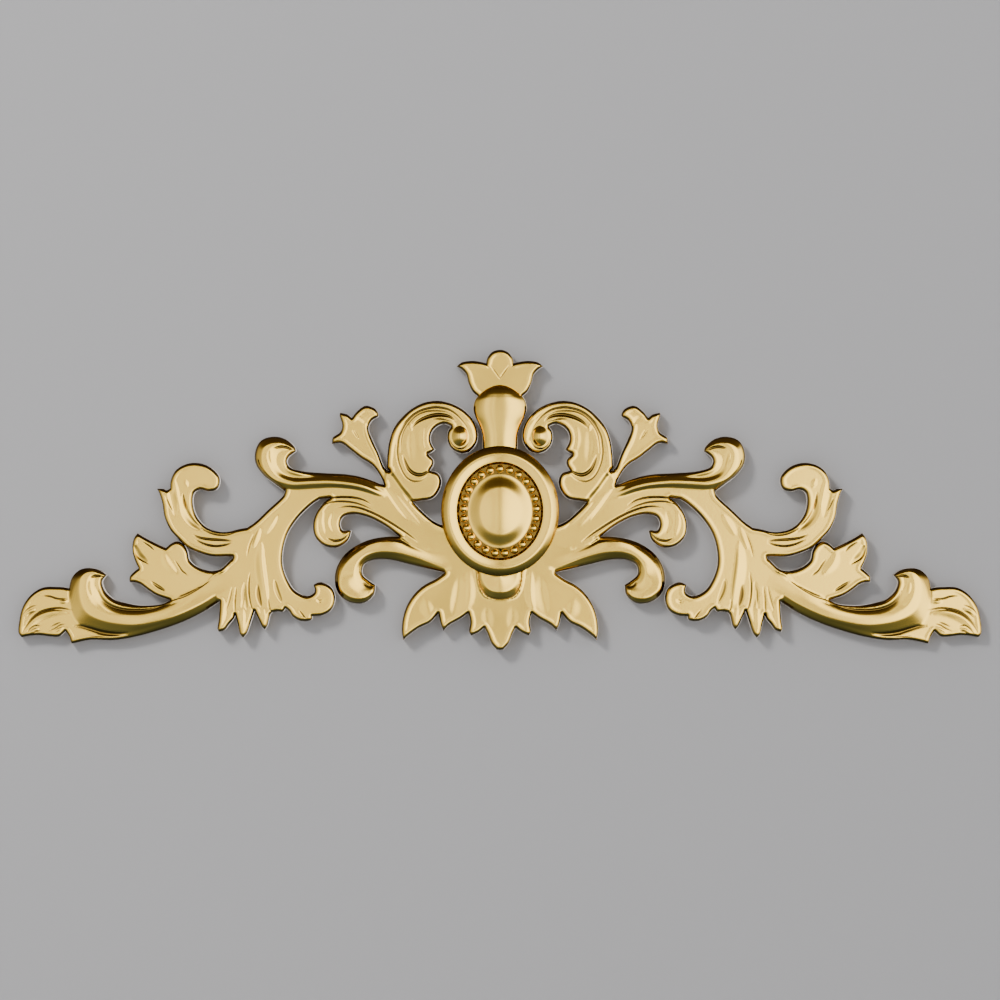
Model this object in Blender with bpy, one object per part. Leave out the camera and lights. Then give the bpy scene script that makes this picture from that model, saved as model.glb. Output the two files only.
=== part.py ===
"""Cartouche: a cast ornament to be fixed flat on a wall, a cornice, a door or a chest.

A beaded oval medallion with a low boss sits in the middle, under a short baluster with a tulip and
over a spread pendant leaf. From it a scrolling bough runs out to each side and ends in a curled leaf.
The whole is one casting: its front is carved, its sides are cut straight back and its back is flat.

Everything is drawn for one half, in millimetres: out from the middle line, then up from the medallion's
centre. The casting's front looks along -Y and its flat back lies in the plane y = 0.
"""
from math import pi

import bmesh
import bpy
import numpy as np
from mathutils import Matrix, Vector

MM = 0.001

# The casting as a whole.
HALF_WIDTH = 241.0
TOP = 81.0
BOTTOM = -70.0
CELL = 1.0
TRIANGLES = 9600

# How closely the outline is followed, in millimetres, and the least steepness used to find it.
NEAR_OUTLINE = 0.35 * CELL
ON_OUTLINE = 0.001
TEST_STEP = 0.05
LEAST_STEEPNESS = 0.25
OVERLAP = 0.2
STRAY = 0.1
MERGE = 0.02

# Heights above the wall.
LEAF = 6.4
FOLD = 8.0
BOUGH = 8.6
HOOK_TOP = 9.9
VOLUTE = 9.8
TONGUE_TOP = 10.0
EYE_RISE = 1.8
UNDERSIDE = 5.6
BALUSTER_EDGE = 8.0
RIM = 13.0
RING = 16.0
CHANNEL = 12.9
BOSS_EDGE = 15.2
BOSS = 16.0

# The medallion: half widths and half heights of its ovals, and its beads.
MEDALLION = (29.4, 32.5)
RING_CREST = (25.6, 28.6)
RING_FALL = (21.6, 24.6)
RING_INSIDE = (20.4, 23.4)
BEAD_OVAL = (18.2, 21.1)
BOSS_FOOT = (16.4, 19.2)
BOSS_CROWN = (9.0, 10.8)
BEADS = 25
BEAD_RADIUS = 1.85

# The eye in the middle of the volute.
EYE = (20.0, 37.6)
EYE_RADIUS = 4.4

# The leaves and scrolls, each as runs of points: a run is one smooth curve, and runs meet at corners.
TAIL_LEAF = (
    [(205, -45), (216, -38.7), (222.6, -38), (229, -38.4), (234.6, -41.8), (238.8, -47.8),
     (240.6, -55), (240.9, -61.3)],
    [(239.4, -63.2), (235, -62.4), (230, -62.2), (225, -62.8), (220.6, -62.8)],
    [(217.4, -60.2), (215.7, -62.8)],
    [(214.4, -66.4), (205, -64.5), (193, -64.6), (182, -62.8), (170.3, -59.6), (158, -55.2), (148.4, -50.5)],
    [(140.2, -45.3), (150, -42), (180, -50)],
)
TAIL_SCROLL = (
    [(212, -41), (215.6, -38.3), (214, -33), (210.2, -29.4), (205, -28.5), (199.5, -29.9)],
    [(196.6, -32), (198.7, -34.6), (199, -36), (197.4, -40.2), (193, -44.2), (187.5, -46), (179.6, -47.2),
     (170, -46.6)],
    [(165.2, -44.8), (155, -41), (147, -36.5), (141, -31.5), (135.5, -26.5)],
    [(125, -30), (128, -44)],
    [(142, -44), (147.5, -45.5), (155, -49), (165, -52.5), (180, -56), (187.5, -56.5), (195, -55.8),
     (204, -51), (209, -44.5)],
)
SMALL_LEAF = (
    [(165, -44.6), (171.6, -42.4), (176, -39.7), (180, -36.7), (182.2, -35.9)],
    [(185.3, -35.6), (185.4, -33), (183.2, -30.4)],
    [(180.9, -28.6), (182.3, -25.8), (183.9, -20.4), (183.4, -14.1)],
    [(181.4, -11), (177, -13.6), (171.2, -16.6)],
    [(167.2, -18.4), (164.6, -16.2), (161.5, -15.1), (158.4, -16.8), (156.2, -20.4), (155.4, -24.3),
     (151.6, -27.8), (145.4, -29.9), (140.4, -29.2), (136.4, -25.9)],
    [(134.4, -23.8), (130, -27)],
    [(133, -29), (141, -31.5), (147, -36.5), (155, -41)],
)
UPPER_LEAF = (
    [(130, -23), (135.5, -22.8), (144, -22.8), (150.5, -21), (156, -18.5), (160.9, -14.1), (165, -9.5),
     (167.9, -2.9), (169, 3.9), (170.6, 9.1)],
    [(171.7, 11.2), (168.4, 11.1)],
    [(166.7, 10.3)],
    [(165.1, 11.4), (164.8, 15.1), (162.5, 20.1), (157.9, 23.2), (151.7, 24.1), (145, 22), (140.4, 17.2),
     (140.2, 13.5), (141.7, 10.7), (145.5, 9.7), (150, 10.6), (152.9, 8.9), (153.6, 4.3), (152.3, -1.4),
     (148.4, -6.8), (143.4, -9.7), (136.7, -10.4), (130.9, -9.1)],
    [(126.5, -8.3), (118, -14), (120, -24)],
)
ACANTHUS = (
    [(126.5, -8.3), (122.3, -5.3), (116.3, 0.4), (108.2, 8.2)],
    [(107.5, 10.4), (100, 14)],
    [(90.2, 5.8), (93.5, 3.7), (100.7, -3.2), (106.1, -11.3), (108.5, -19.7), (108.6, -27.5), (106.1, -34.7),
     (102.5, -39.8), (96.5, -42.5), (92.8, -40.4)],
    [(93.4, -36.9), (90.5, -35.6), (84.8, -37.7), (82.4, -43.1), (84.2, -49.4), (88.7, -52.2)],
    [(93.8, -52.7), (94.1, -54.4), (99.5, -55.1), (104, -52.7), (105.5, -50.3)],
    [(107.3, -48.8), (108.5, -50.5), (111.5, -50.3)],
    [(113.9, -50.8), (114.8, -51.8), (116.3, -57.5)],
    [(117.5, -59.3), (119, -58.1), (120.5, -55.1)],
    [(122.8, -50), (124.4, -55.1), (126.8, -61.7)],
    [(128.6, -63.5), (130.1, -61.7), (131, -58.1)],
    [(132.5, -51.8), (133.1, -53.9), (135.5, -56.9), (137.6, -59.6)],
    [(140.7, -60.5), (141.4, -58.8), (140.9, -55.1)],
    [(140.2, -45.3), (144, -38)],
    [(139.5, -30), (136, -27)],
    [(134.2, -24), (130, -16)],
)
HOOK = (
    [(107.5, 10.2), (113.1, 13.9), (118.2, 17.6), (122.2, 23.4), (122.6, 29.5), (119.8, 35.1), (114, 37.2),
     (107, 35.9), (102.3, 31.6)],
    [(102, 29.7), (105.6, 26.9), (106.5, 24.8), (105.1, 22), (98.6, 19.9), (87.9, 19), (77.1, 18.4),
     (68.7, 16.9), (58.1, 12.8)],
    [(52, 9), (60.5, 8.5), (67.5, 12), (77.5, 14.5), (90, 14.5), (100, 13.7)],
)
STEM = (
    [(108, 12), (95, 15.5), (80, 16), (66, 14), (57.5, 14)],
    [(43.3, 4.5), (40, 1), (33.5, -4.8), (29, -7)],
    [(18, -10), (18, -20)],
    [(36, -16), (50, -8), (60, 1), (70, 5.8), (80, 6.9)],
    [(90.2, 5.8), (98, 3)],
)
INNER_CURL = (
    [(88.3, 4.3), (91.8, -0.5), (93.6, -6.5), (92.5, -13), (87.8, -17.5), (81.5, -18.3), (76, -14.8)],
    [(74.2, -10), (75.5, -9.5), (78.5, -9.8), (79.9, -6.5), (78.3, -3), (73.5, -1.7), (66.5, -3), (58.5, -6.9)],
    [(50.3, -12.8), (42, -18), (24, -24)],
    [(22, -12), (36, -8), (50, 0), (62, 6), (74, 8), (84, 6.8)],
)
LOWER_SCROLL = (
    [(50.3, -12.8), (56.5, -12.8), (64, -14), (71.5, -17), (78, -22), (82, -29), (82.6, -36.5), (80, -42.5),
     (74.5, -46), (67.5, -45.9), (63, -42)],
    [(62.2, -37), (65.5, -34.8), (68.8, -31.5), (68, -27), (63, -24.5), (55, -24.5), (45, -26.8), (35, -29.3)],
    [(27.9, -30.8), (16, -28), (18, -16), (36, -14)],
)
PENDANT = (
    [(0, -30), (20, -28), (27.9, -31), (32.1, -33.9), (37.9, -37), (42.5, -41), (46.3, -46.6), (48.6, -53.3),
     (49.2, -60.4)],
    [(48.4, -64.6), (45.4, -62), (40.4, -58.5), (34.6, -55.6)],
    [(30.9, -51.3), (29.8, -56.6)],
    [(28.3, -60), (25.4, -57.2), (19.6, -53.9)],
    [(15.9, -51.2), (15, -55.4), (15.6, -60.4)],
    [(14.4, -62.4), (10.4, -60.6)],
    [(7.9, -58.5), (6.3, -61.6), (4.2, -66.6)],
    [(1.7, -69.4), (-1.7, -69.4)],
    [(-6, -60), (-8, -40)],
)
TONGUE = (
    [(0, -28), (10.8, -28), (10.8, -31), (10.4, -37), (8, -41.4), (4.5, -43.6)],
    [(0, -44.2), (-4.5, -43.6), (-9, -36), (-6, -28)],
)
LILY = (
    [(84.1, 33.5), (83.8, 36.7), (80.1, 39.4), (79, 42.6), (80.3, 47.9)],
    [(80, 49.2), (76, 48.2)],
    [(74.2, 46.7), (71.5, 50), (67.3, 52.7), (62.2, 51), (60.6, 47.6), (64, 45.2), (65.7, 41.5), (63.5, 35.1),
     (60.6, 28.7), (58.2, 22.3)],
    [(57.1, 21), (52, 12)],
    [(57.9, 13), (60, 17.5), (64, 22.8), (69.9, 26.6), (75.3, 30.8), (79.5, 33.8)],
)
C_SCROLL = (
    [(56.7, 21.9), (56.4, 28.9), (55.4, 35.5), (53, 41.9), (48.9, 47.2), (43.2, 51.9), (36.5, 54.7),
     (29.2, 55), (22.2, 53), (16.2, 49), (12.2, 43.2), (11, 37.5), (12.2, 32.9), (15.9, 29.4), (20.5, 28.9),
     (24.7, 31.5), (26.5, 35.9), (26, 40.2)],
    [(24.5, 42.2), (27.5, 43.4), (30.9, 42.5), (33.9, 39.5), (34.7, 35.5), (33.2, 31.9)],
    [(32.4, 30.7), (34.2, 29.2)],
    [(35.9, 28.5), (33.2, 25.5), (33.2, 22.9)],
    [(34.9, 20.3), (30.9, 18.9), (29.2, 15.5), (29.9, 11.2), (33.5, 6.3), (40, 4.9)],
    [(43.3, 4.5), (50, 4)],
)
BALUSTER = (
    [(8.7, 28), (8.7, 33), (8.9, 38), (10.3, 42.6), (12.5, 47.4), (13.4, 51.4), (12.6, 55.2), (10.6, 58),
     (7, 60.9), (3, 62.7)],
    [(0, 63.1), (-5, 60)],
    [(-8, 50), (-8, 28)],
)
TULIP = (
    [(10.9, 57), (13.6, 59.4), (15.8, 63.8), (17, 68.2), (19.6, 71)],
    [(21.8, 72.3), (19.2, 74.4), (14, 75.1), (8.8, 74.5)],
    [(7, 74), (6.4, 76.6), (4, 79.6), (0, 80.7), (-4, 79.6)],
    [(-7, 70), (-10, 57)],
)


def smooth_curve(points, step=0.5):
    """A curve that runs smoothly through the points, as points about a step apart."""
    knots = np.array(points, float)
    knots = np.vstack([2 * knots[0] - knots[1], knots, 2 * knots[-1] - knots[-2]])
    times = np.concatenate([[0], np.cumsum(np.linalg.norm(np.diff(knots, axis=0), axis=1) ** 0.5)])
    curve = []
    for i in range(1, len(knots) - 2):
        before, start, end, after = knots[i - 1:i + 3]
        t0, t1, t2, t3 = times[i - 1:i + 3]
        count = max(2, int(np.linalg.norm(end - start) / step))
        t = np.linspace(t1, t2, count, endpoint=False)[:, None]
        a1 = before + (start - before) * (t - t0) / (t1 - t0)
        a2 = start + (end - start) * (t - t1) / (t2 - t1)
        a3 = end + (after - end) * (t - t2) / (t3 - t2)
        b1 = a1 + (a2 - a1) * (t - t0) / (t2 - t0)
        b2 = a2 + (a3 - a2) * (t - t1) / (t3 - t1)
        curve.append(b1 + (b2 - b1) * (t - t1) / (t2 - t1))
    curve.append(knots[-2:-1])
    return np.vstack(curve)


def closed_outline(runs):
    """The outline that a list of runs makes: smooth along each run, with a corner between runs."""
    followers = runs[1:] + runs[:1]
    return np.vstack([smooth_curve(run + [after[0]])[:-1] for run, after in zip(runs, followers)])


def depth_inside(x, z, outline):
    """How far each place lies inside a closed outline, and less than nothing outside it."""
    nearest = np.full(x.shape, np.inf)
    inside = np.zeros(x.shape, bool)
    for (ax, az), (bx, bz) in zip(outline, np.roll(outline, -1, axis=0)):
        dx, dz = bx - ax, bz - az
        along = np.clip(((x - ax) * dx + (z - az) * dz) / (dx * dx + dz * dz), 0, 1)
        nearest = np.minimum(nearest, (x - ax - along * dx) ** 2 + (z - az - along * dz) ** 2)
        if az != bz:
            inside ^= ((az > z) != (bz > z)) & (x < ax + (bx - ax) * (z - az) / (bz - az))
    return np.where(inside, 1, -1) * np.sqrt(nearest)


def line_distance(x, z, line):
    """How far each place is from an open line of points."""
    nearest = np.full(x.shape, np.inf)
    for (ax, az), (bx, bz) in zip(line[:-1], line[1:]):
        dx, dz = bx - ax, bz - az
        along = np.clip(((x - ax) * dx + (z - az) * dz) / (dx * dx + dz * dz), 0, 1)
        nearest = np.minimum(nearest, (x - ax - along * dx) ** 2 + (z - az - along * dz) ** 2)
    return np.sqrt(nearest)


def ease(t):
    t = np.clip(t, 0, 1)
    return t * t * (3 - 2 * t)


# Flat-topped leaves and stems: outline, height, and the width and the drop of the rounded edge.
PLATES = tuple((closed_outline(runs), top, width, drop) for runs, top, width, drop in (
    (TAIL_LEAF, LEAF, 2.5, 0.8),
    (TAIL_SCROLL, BOUGH, 2.0, 1.0),
    (SMALL_LEAF, FOLD, 2.5, 1.0),
    (UPPER_LEAF, BOUGH - 0.2, 2.5, 1.2),
    (ACANTHUS, BOUGH - 0.4, 3.0, 1.6),
    (HOOK, HOOK_TOP, 2.5, 1.8),
    (STEM, BOUGH, 2.0, 1.0),
    (INNER_CURL, BOUGH, 2.0, 1.0),
    (LOWER_SCROLL, BOUGH + 0.4, 2.0, 1.0),
    (PENDANT, BOUGH - 0.2, 2.5, 1.0),
    (TONGUE, TONGUE_TOP, 2.0, 1.4),
    (LILY, FOLD - 0.4, 2.5, 1.0),
    (C_SCROLL, VOLUTE, 2.0, 1.2),
    (TULIP, FOLD, 3.0, 1.5),
))

# Slopes between a high line and a low line: the lines and their heights.
SLOPES = tuple((smooth_curve(high), smooth_curve(low), top, foot) for high, low, top, foot in (
    ([(141, -44), (147.5, -45.5), (155, -49), (165, -52.5), (180, -56), (187.5, -56.5), (195, -55.8),
      (204, -51), (209, -44.5)],
     [(140, -45), (148.4, -50.5), (158, -55.2), (170.3, -59.6), (182, -62.6), (192.5, -62.6),
      (201.5, -59.5), (212.5, -58), (216, -50)],
     BOUGH, UNDERSIDE),
    ([(114, 34.5), (119, 32.5), (119, 25.5), (114, 17), (104, 13.8), (90, 14.5), (77.5, 14.5), (67.5, 12),
      (60.5, 8.5)],
     [(122, 33), (123, 27), (118.2, 16.5), (108, 10.5), (100, 10.6), (90, 11.1), (82.5, 11.5), (75, 11.3),
      (64, 9), (60, 8)],
     HOOK_TOP, BOUGH - 0.5),
))

# Grooves: the line each one runs along, its half width and its depth.
GROOVES = tuple((smooth_curve(points), width, depth) for points, width, depth in (
    ([(165, -45), (155, -41), (147, -36.5), (141, -31.5), (135.5, -26.5)], 1.2, 1.6),
    ([(201, -44.5), (197, -47), (187.5, -50), (178, -50.3), (170, -49), (163.5, -46.5)], 1.8, 1.8),
    ([(215, -49.3), (225, -48.9), (234, -52), (239, -58.5)], 1.2, 1.2),
    ([(157, -5), (153.5, -8), (147, -11.5), (139, -12), (132, -10.8)], 1.4, 1.6),
    ([(124.7, -30.5), (125.2, -36.5), (125, -43), (123, -50)], 1.4, 1.6),
    ([(112, -35), (109, -44.5)], 1.2, 1.4),
    ([(134, -37), (135.5, -44.5)], 1.2, 1.2),
    ([(114, 20.5), (105, 16), (90, 15.8), (72.5, 14.8), (60.5, 9)], 1.6, 1.8),
    ([(90.2, 5.8), (75, 7), (65, 4)], 1.2, 1.6),
    ([(80.5, 1.8), (74, 2.3), (61, -3.2), (47.5, -11.8), (42.5, -14.5)], 1.3, 1.8),
    ([(14.5, 35.5), (16.5, 41.5), (21, 48.3), (27.5, 51.6), (36, 51.5), (44, 47.5), (49.7, 40), (51.2, 30.5),
      (49.5, 22.5), (44.5, 16.3), (38, 16), (36, 17.8)], 1.3, 1.6),
    ([(24, 45.5), (30, 48), (37, 48.2), (44, 44), (48.5, 36), (49, 28), (47.5, 23.5), (43, 18.5),
      (35, 20)], 1.3, 1.6),
    ([(62, -20.5), (54, -21), (44, -24), (33, -27.6)], 1.4, 1.4),
    ([(15, -33.5), (13.5, -41), (16.5, -48.5)], 1.6, 1.2),
    ([(40, -44), (34.5, -50.5)], 1.6, 1.2),
))


def even_oval(oval, count):
    """Places at equal steps round an oval, the first at its top."""
    turn = np.linspace(0, 2 * pi, 721)
    x, z = oval[0] * np.sin(turn), oval[1] * np.cos(turn)
    length = np.concatenate([[0], np.cumsum(np.hypot(np.diff(x), np.diff(z)))])
    stations = np.interp(np.arange(count) / count * length[-1], length, turn)
    return list(zip(oval[0] * np.sin(stations), oval[1] * np.cos(stations)))


def medallion_front(x, z):
    """The medallion's depth inside its outline and its height: a rounded ring, beads and a low boss."""
    reach = np.maximum(np.hypot(x, z), 1e-6)

    def oval_reach(oval):
        return reach / np.hypot(x / oval[0], z / oval[1])

    def rise(outer, inner):
        return np.clip((oval_reach(outer) - reach) / (oval_reach(outer) - oval_reach(inner)), 0, 1)

    shoulder = rise(MEDALLION, RING_CREST)
    height = RIM + (RING - RIM) * np.sin(shoulder * pi / 2)
    height -= (RING - CHANNEL) * ease(rise(RING_FALL, RING_INSIDE))
    height += (BOSS_EDGE - CHANNEL) * ease(rise(BOSS_FOOT, BOSS_CROWN))
    height += (BOSS - BOSS_EDGE) * np.sin(rise(BOSS_CROWN, (0.1, 0.1)) * pi / 2)
    for bead_x, bead_z in even_oval(BEAD_OVAL, BEADS):
        square = BEAD_RADIUS ** 2 - (x - bead_x) ** 2 - (z - bead_z) ** 2
        height = np.where(square > 0, CHANNEL + np.sqrt(np.maximum(square, 0)), height)
    return oval_reach(MEDALLION) - reach, height


BALUSTER_LINE = smooth_curve(BALUSTER[0] + [(0.3, 63.1)])
BALUSTER_BULGE = ((28, 4.6), (40, 4.8), (50, 5.8), (56, 5.7), (59, 5.1), (61, 4.1), (62.4, 2.6), (63.1, 0.6))


def baluster_front(x, z):
    """The baluster's depth inside its outline and its height: half round across, with a domed top."""
    half_width = np.interp(z, BALUSTER_LINE[:, 1], BALUSTER_LINE[:, 0])
    bulge = np.interp(z, *zip(*BALUSTER_BULGE))
    across = np.clip(1 - (x / half_width) ** 2, 0, 1)
    return depth_inside(x, z, closed_outline(BALUSTER)), BALUSTER_EDGE + bulge * np.sqrt(across)


def front(x, z):
    """Each place's depth inside the casting's outline, and the height of its carved front."""
    depth = np.full(x.shape, -np.inf)
    height = np.full(x.shape, UNDERSIDE - 1.0)
    for outline, top, width, drop in PLATES:
        inside = depth_inside(x, z, outline)
        edge = 1 - np.clip(inside / width, 0, 1)
        surface = top - drop * (1 - np.sqrt(1 - edge ** 2))
        height = np.where(inside > -OVERLAP, np.maximum(height, surface), height)
        depth = np.maximum(depth, inside)
    for high_line, low_line, top, foot in SLOPES:
        inside = depth_inside(x, z, np.vstack([high_line, low_line[::-1]]))
        from_top = line_distance(x, z, high_line)
        from_foot = line_distance(x, z, low_line)
        surface = top + (foot - top) * from_top / np.maximum(from_top + from_foot, 1e-6)
        height = np.where(inside > 0, surface, height)
    for line, width, cut in GROOVES:
        taper = np.sin(np.linspace(0, pi, len(line))) ** 0.4 * width + 1e-6
        reach = np.full(x.shape, -np.inf)
        for (line_x, line_z), half_width in zip(line, taper):
            reach = np.maximum(reach, 1 - np.hypot(x - line_x, z - line_z) / half_width)
        height = height - cut * ease(reach)
    eye = np.hypot(x - EYE[0], z - EYE[1])
    height = np.where(eye < EYE_RADIUS, VOLUTE + EYE_RISE * ease(1 - eye / EYE_RADIUS), height)
    for inside, surface in (medallion_front(x, z), baluster_front(x, z)):
        height = np.where(inside > -OVERLAP, np.maximum(height, surface), height)
        depth = np.maximum(depth, inside)
    return depth, height


def flat_sheet():
    """One half of the casting's outline as a flat sheet of small cells, in millimetres."""
    columns = round(HALF_WIDTH / CELL) + 2
    rows = round((TOP - BOTTOM) / CELL) + 2
    size = Vector((columns * CELL, rows * CELL))
    corner = Matrix.Translation((size.x / 2, 0, BOTTOM - CELL + size.y / 2))
    frame = corner @ Matrix.Rotation(pi / 2, 4, "X") @ Matrix.Diagonal((size.x / 2, size.y / 2, 1, 1))
    sheet = bmesh.new()
    bmesh.ops.create_grid(sheet, x_segments=columns, y_segments=rows, size=1, matrix=frame)
    level = sheet.verts.layers.float.new("depth")
    verts = list(sheet.verts)
    x = np.array([v.co.x for v in verts])
    z = np.array([v.co.z for v in verts])
    depth = front(x, z)[0]

    near = np.abs(depth) < NEAR_OUTLINE
    step = TEST_STEP
    slope_x = (front(x[near] + step, z[near])[0] - front(x[near] - step, z[near])[0]) / (2 * step)
    slope_z = (front(x[near], z[near] + step)[0] - front(x[near], z[near] - step)[0]) / (2 * step)
    steepness = np.maximum(slope_x ** 2 + slope_z ** 2, LEAST_STEEPNESS)
    on_axis = x[near] < ON_OUTLINE
    x[near] -= np.where(on_axis, 0, depth[near] * slope_x / steepness)
    z[near] -= depth[near] * slope_z / steepness
    depth[near] = 0
    for vert, new_x, new_z, value in zip(verts, x, z, depth):
        vert.co = (new_x, 0, new_z)
        vert[level] = value

    crossing = {}
    for edge in sheet.edges:
        start, end = (v[level] for v in edge.verts)
        if start * end < 0:
            crossing[edge] = start / (start - end)
    bmesh.ops.bisect_edges(sheet, edges=list(crossing), cuts=1, edge_percents=crossing)
    bmesh.ops.connect_verts(sheet, verts=[v for v in sheet.verts if abs(v[level]) < ON_OUTLINE])
    outside = [f for f in sheet.faces if min(v[level] for v in f.verts) < -ON_OUTLINE]
    bmesh.ops.delete(sheet, geom=outside, context="FACES")
    centres = [f.calc_center_median() for f in sheet.faces]
    middle = front(np.array([c.x for c in centres]), np.array([c.z for c in centres]))[0]
    stray = [face for face, value in zip(list(sheet.faces), middle) if value < -STRAY]
    bmesh.ops.delete(sheet, geom=stray, context="FACES")
    bmesh.ops.remove_doubles(sheet, verts=sheet.verts, dist=MERGE)
    part_at_pinches(sheet)
    return sheet


def part_at_pinches(sheet):
    """Take away the cells round any place where two parts of the sheet only touch at a corner."""
    pinches = True
    while pinches:
        pinches = [v for v in sheet.verts if sum(e.is_boundary for e in v.link_edges) > 2]
        faces = {face for v in pinches for face in v.link_faces}
        bmesh.ops.delete(sheet, geom=list(faces), context="FACES")


def carved_body():
    """The whole casting: the sheet mirrored, its front raised to the carved heights, its back left flat."""
    body = flat_sheet()
    bmesh.ops.triangulate(body, faces=body.faces)
    bmesh.ops.mirror(body, geom=body.verts[:] + body.edges[:] + body.faces[:], merge_dist=1e-4, axis="X")
    raised = bmesh.ops.extrude_face_region(body, geom=body.faces[:], use_keep_orig=True)
    front_verts = [v for v in raised["geom"] if isinstance(v, bmesh.types.BMVert)]
    x = np.array([v.co.x for v in front_verts])
    z = np.array([v.co.z for v in front_verts])
    for vert, height in zip(front_verts, front(np.abs(x), z)[1]):
        vert.co.y = -height
    bmesh.ops.scale(body, vec=(MM, MM, MM), verts=body.verts)
    bmesh.ops.recalc_face_normals(body, faces=body.faces)
    return body


def gold():
    material = bpy.data.materials.new("lacquered gold brass")
    material.use_nodes = True
    shader = material.node_tree.nodes["Principled BSDF"]
    shader.inputs["Base Color"].default_value = (0.94, 0.62, 0.1, 1)
    shader.inputs["Metallic"].default_value = 1
    shader.inputs["Roughness"].default_value = 0.2
    return material


for item in list(bpy.data.objects):
    bpy.data.objects.remove(item)

solid = carved_body()
mesh = bpy.data.meshes.new("cartouche")
solid.to_mesh(mesh)
solid.free()
mesh.materials.append(gold())
cartouche = bpy.data.objects.new("cartouche", mesh)
bpy.context.scene.collection.objects.link(cartouche)

thin_out = cartouche.modifiers.new("Thin out", "DECIMATE")
thin_out.ratio = TRIANGLES / len(mesh.polygons)
thin_out.use_collapse_triangulate = True
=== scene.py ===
"""Looks of the cartouche: a gold-lacquered brass casting with a beaded medallion and leafy boughs.

The frame gives the solid, and this script carves the casting finer in its place. Every motif is drawn for
one half, in millimetres: out from the middle line, then up from the medallion's centre. Heights are
millimetres above the wall.
"""
from math import pi, radians

import bmesh
import bpy
import numpy as np
from mathutils import Matrix, Vector
from mathutils.bvhtree import BVHTree


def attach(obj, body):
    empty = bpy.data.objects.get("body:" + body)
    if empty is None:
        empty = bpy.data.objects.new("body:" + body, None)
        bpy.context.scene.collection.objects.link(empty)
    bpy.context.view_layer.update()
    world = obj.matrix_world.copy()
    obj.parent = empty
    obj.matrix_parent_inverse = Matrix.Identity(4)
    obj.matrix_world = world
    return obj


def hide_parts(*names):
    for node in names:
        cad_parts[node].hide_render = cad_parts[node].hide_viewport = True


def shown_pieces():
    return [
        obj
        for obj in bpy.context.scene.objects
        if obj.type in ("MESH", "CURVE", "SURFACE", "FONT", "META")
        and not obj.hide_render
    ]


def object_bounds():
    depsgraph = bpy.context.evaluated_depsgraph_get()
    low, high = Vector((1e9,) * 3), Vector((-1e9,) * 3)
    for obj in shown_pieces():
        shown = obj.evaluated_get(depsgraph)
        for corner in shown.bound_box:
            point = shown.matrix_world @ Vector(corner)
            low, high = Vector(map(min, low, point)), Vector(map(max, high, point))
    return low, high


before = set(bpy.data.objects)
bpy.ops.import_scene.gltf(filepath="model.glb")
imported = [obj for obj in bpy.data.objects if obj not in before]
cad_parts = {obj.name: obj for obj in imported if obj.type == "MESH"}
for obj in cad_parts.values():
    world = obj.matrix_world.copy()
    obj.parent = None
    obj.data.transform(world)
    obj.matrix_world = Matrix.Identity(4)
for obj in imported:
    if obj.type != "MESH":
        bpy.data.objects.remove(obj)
solid_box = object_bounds()

MM = 0.001
TINY = 1e-6


# Tail leaf: the flat leaf that ends each bough, with a lower flap that runs back under the bough. Like all
# that follows it is part of one brass casting, and its veins are cut with a fine gouge in the pattern that
# the mould was taken from. The cuts that carve every motif are defined here.
motifs = []
strokes = []
corners = []


def smooth_curve(points, step=1.0):
    """A curve that runs smoothly through points of two or more values, as points about a step apart."""
    knots = np.array(points, float)
    knots = np.vstack([2 * knots[0] - knots[1], knots, 2 * knots[-1] - knots[-2]])
    spans = np.linalg.norm(np.diff(knots[:, :2], axis=0), axis=1)
    times = np.concatenate([[0], np.cumsum(np.maximum(spans, TINY) ** 0.5)])
    curve = []
    for i in range(1, len(knots) - 2):
        before, start, end, after = knots[i - 1:i + 3]
        t0, t1, t2, t3 = times[i - 1:i + 3]
        count = max(2, int(np.linalg.norm(end[:2] - start[:2]) / step))
        t = np.linspace(t1, t2, count, endpoint=False)[:, None]
        a1 = before + (start - before) * (t - t0) / (t1 - t0)
        a2 = start + (end - start) * (t - t1) / (t2 - t1)
        a3 = end + (after - end) * (t - t2) / (t3 - t2)
        b1 = a1 + (a2 - a1) * (t - t0) / (t2 - t0)
        b2 = a2 + (a3 - a2) * (t - t1) / (t3 - t1)
        curve.append(b1 + (b2 - b1) * (t - t1) / (t2 - t1))
    curve.append(knots[-2:-1])
    return np.vstack(curve)


def band_line(points):
    """A line across a face, from points out, up and above the wall; a point that gives no height has the
    height of the one before it."""
    filled = []
    for out, up, *height in points:
        filled.append((out, up, *(height or filled[-1][2:])))
    return smooth_curve(filled)


def motif(runs, height=None, step=None, bands=()):
    """A leaf or scroll: its outline as smooth runs that meet at corners, and the height of its face.

    A step, as a width and a drop, rounds its edge down onto what lies under it. Where bands are given and no
    height, as lines in their order across the face, the face runs from line to line.
    """
    followers = runs[1:] + runs[:1]
    outline = np.vstack([smooth_curve(run + [after[0]])[:-1] for run, after in zip(runs, followers)])
    corners.extend(run[0] for run in runs)
    motifs.append((outline, height, step, [band_line(line) for line in bands]))


def stroke(points, rise, left, right, painted_dark=0.0):
    """A stroke along a smooth line that tapers out at both ends.

    Its rise is how far its crest stands up, or less than nothing for a cut. Left and right are how far its
    flanks reach to either side of the way that it is drawn. Its last value is how much umber painted shade it
    lays along itself.
    """
    strokes.append((smooth_curve(points, step=0.7), rise, left, right, painted_dark))


def cut(points, width=0.6, depth=0.3):
    """A narrow shallow cut, dark with umber painted shade."""
    stroke(points, -depth, width, width, painted_dark=1.0)


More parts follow.
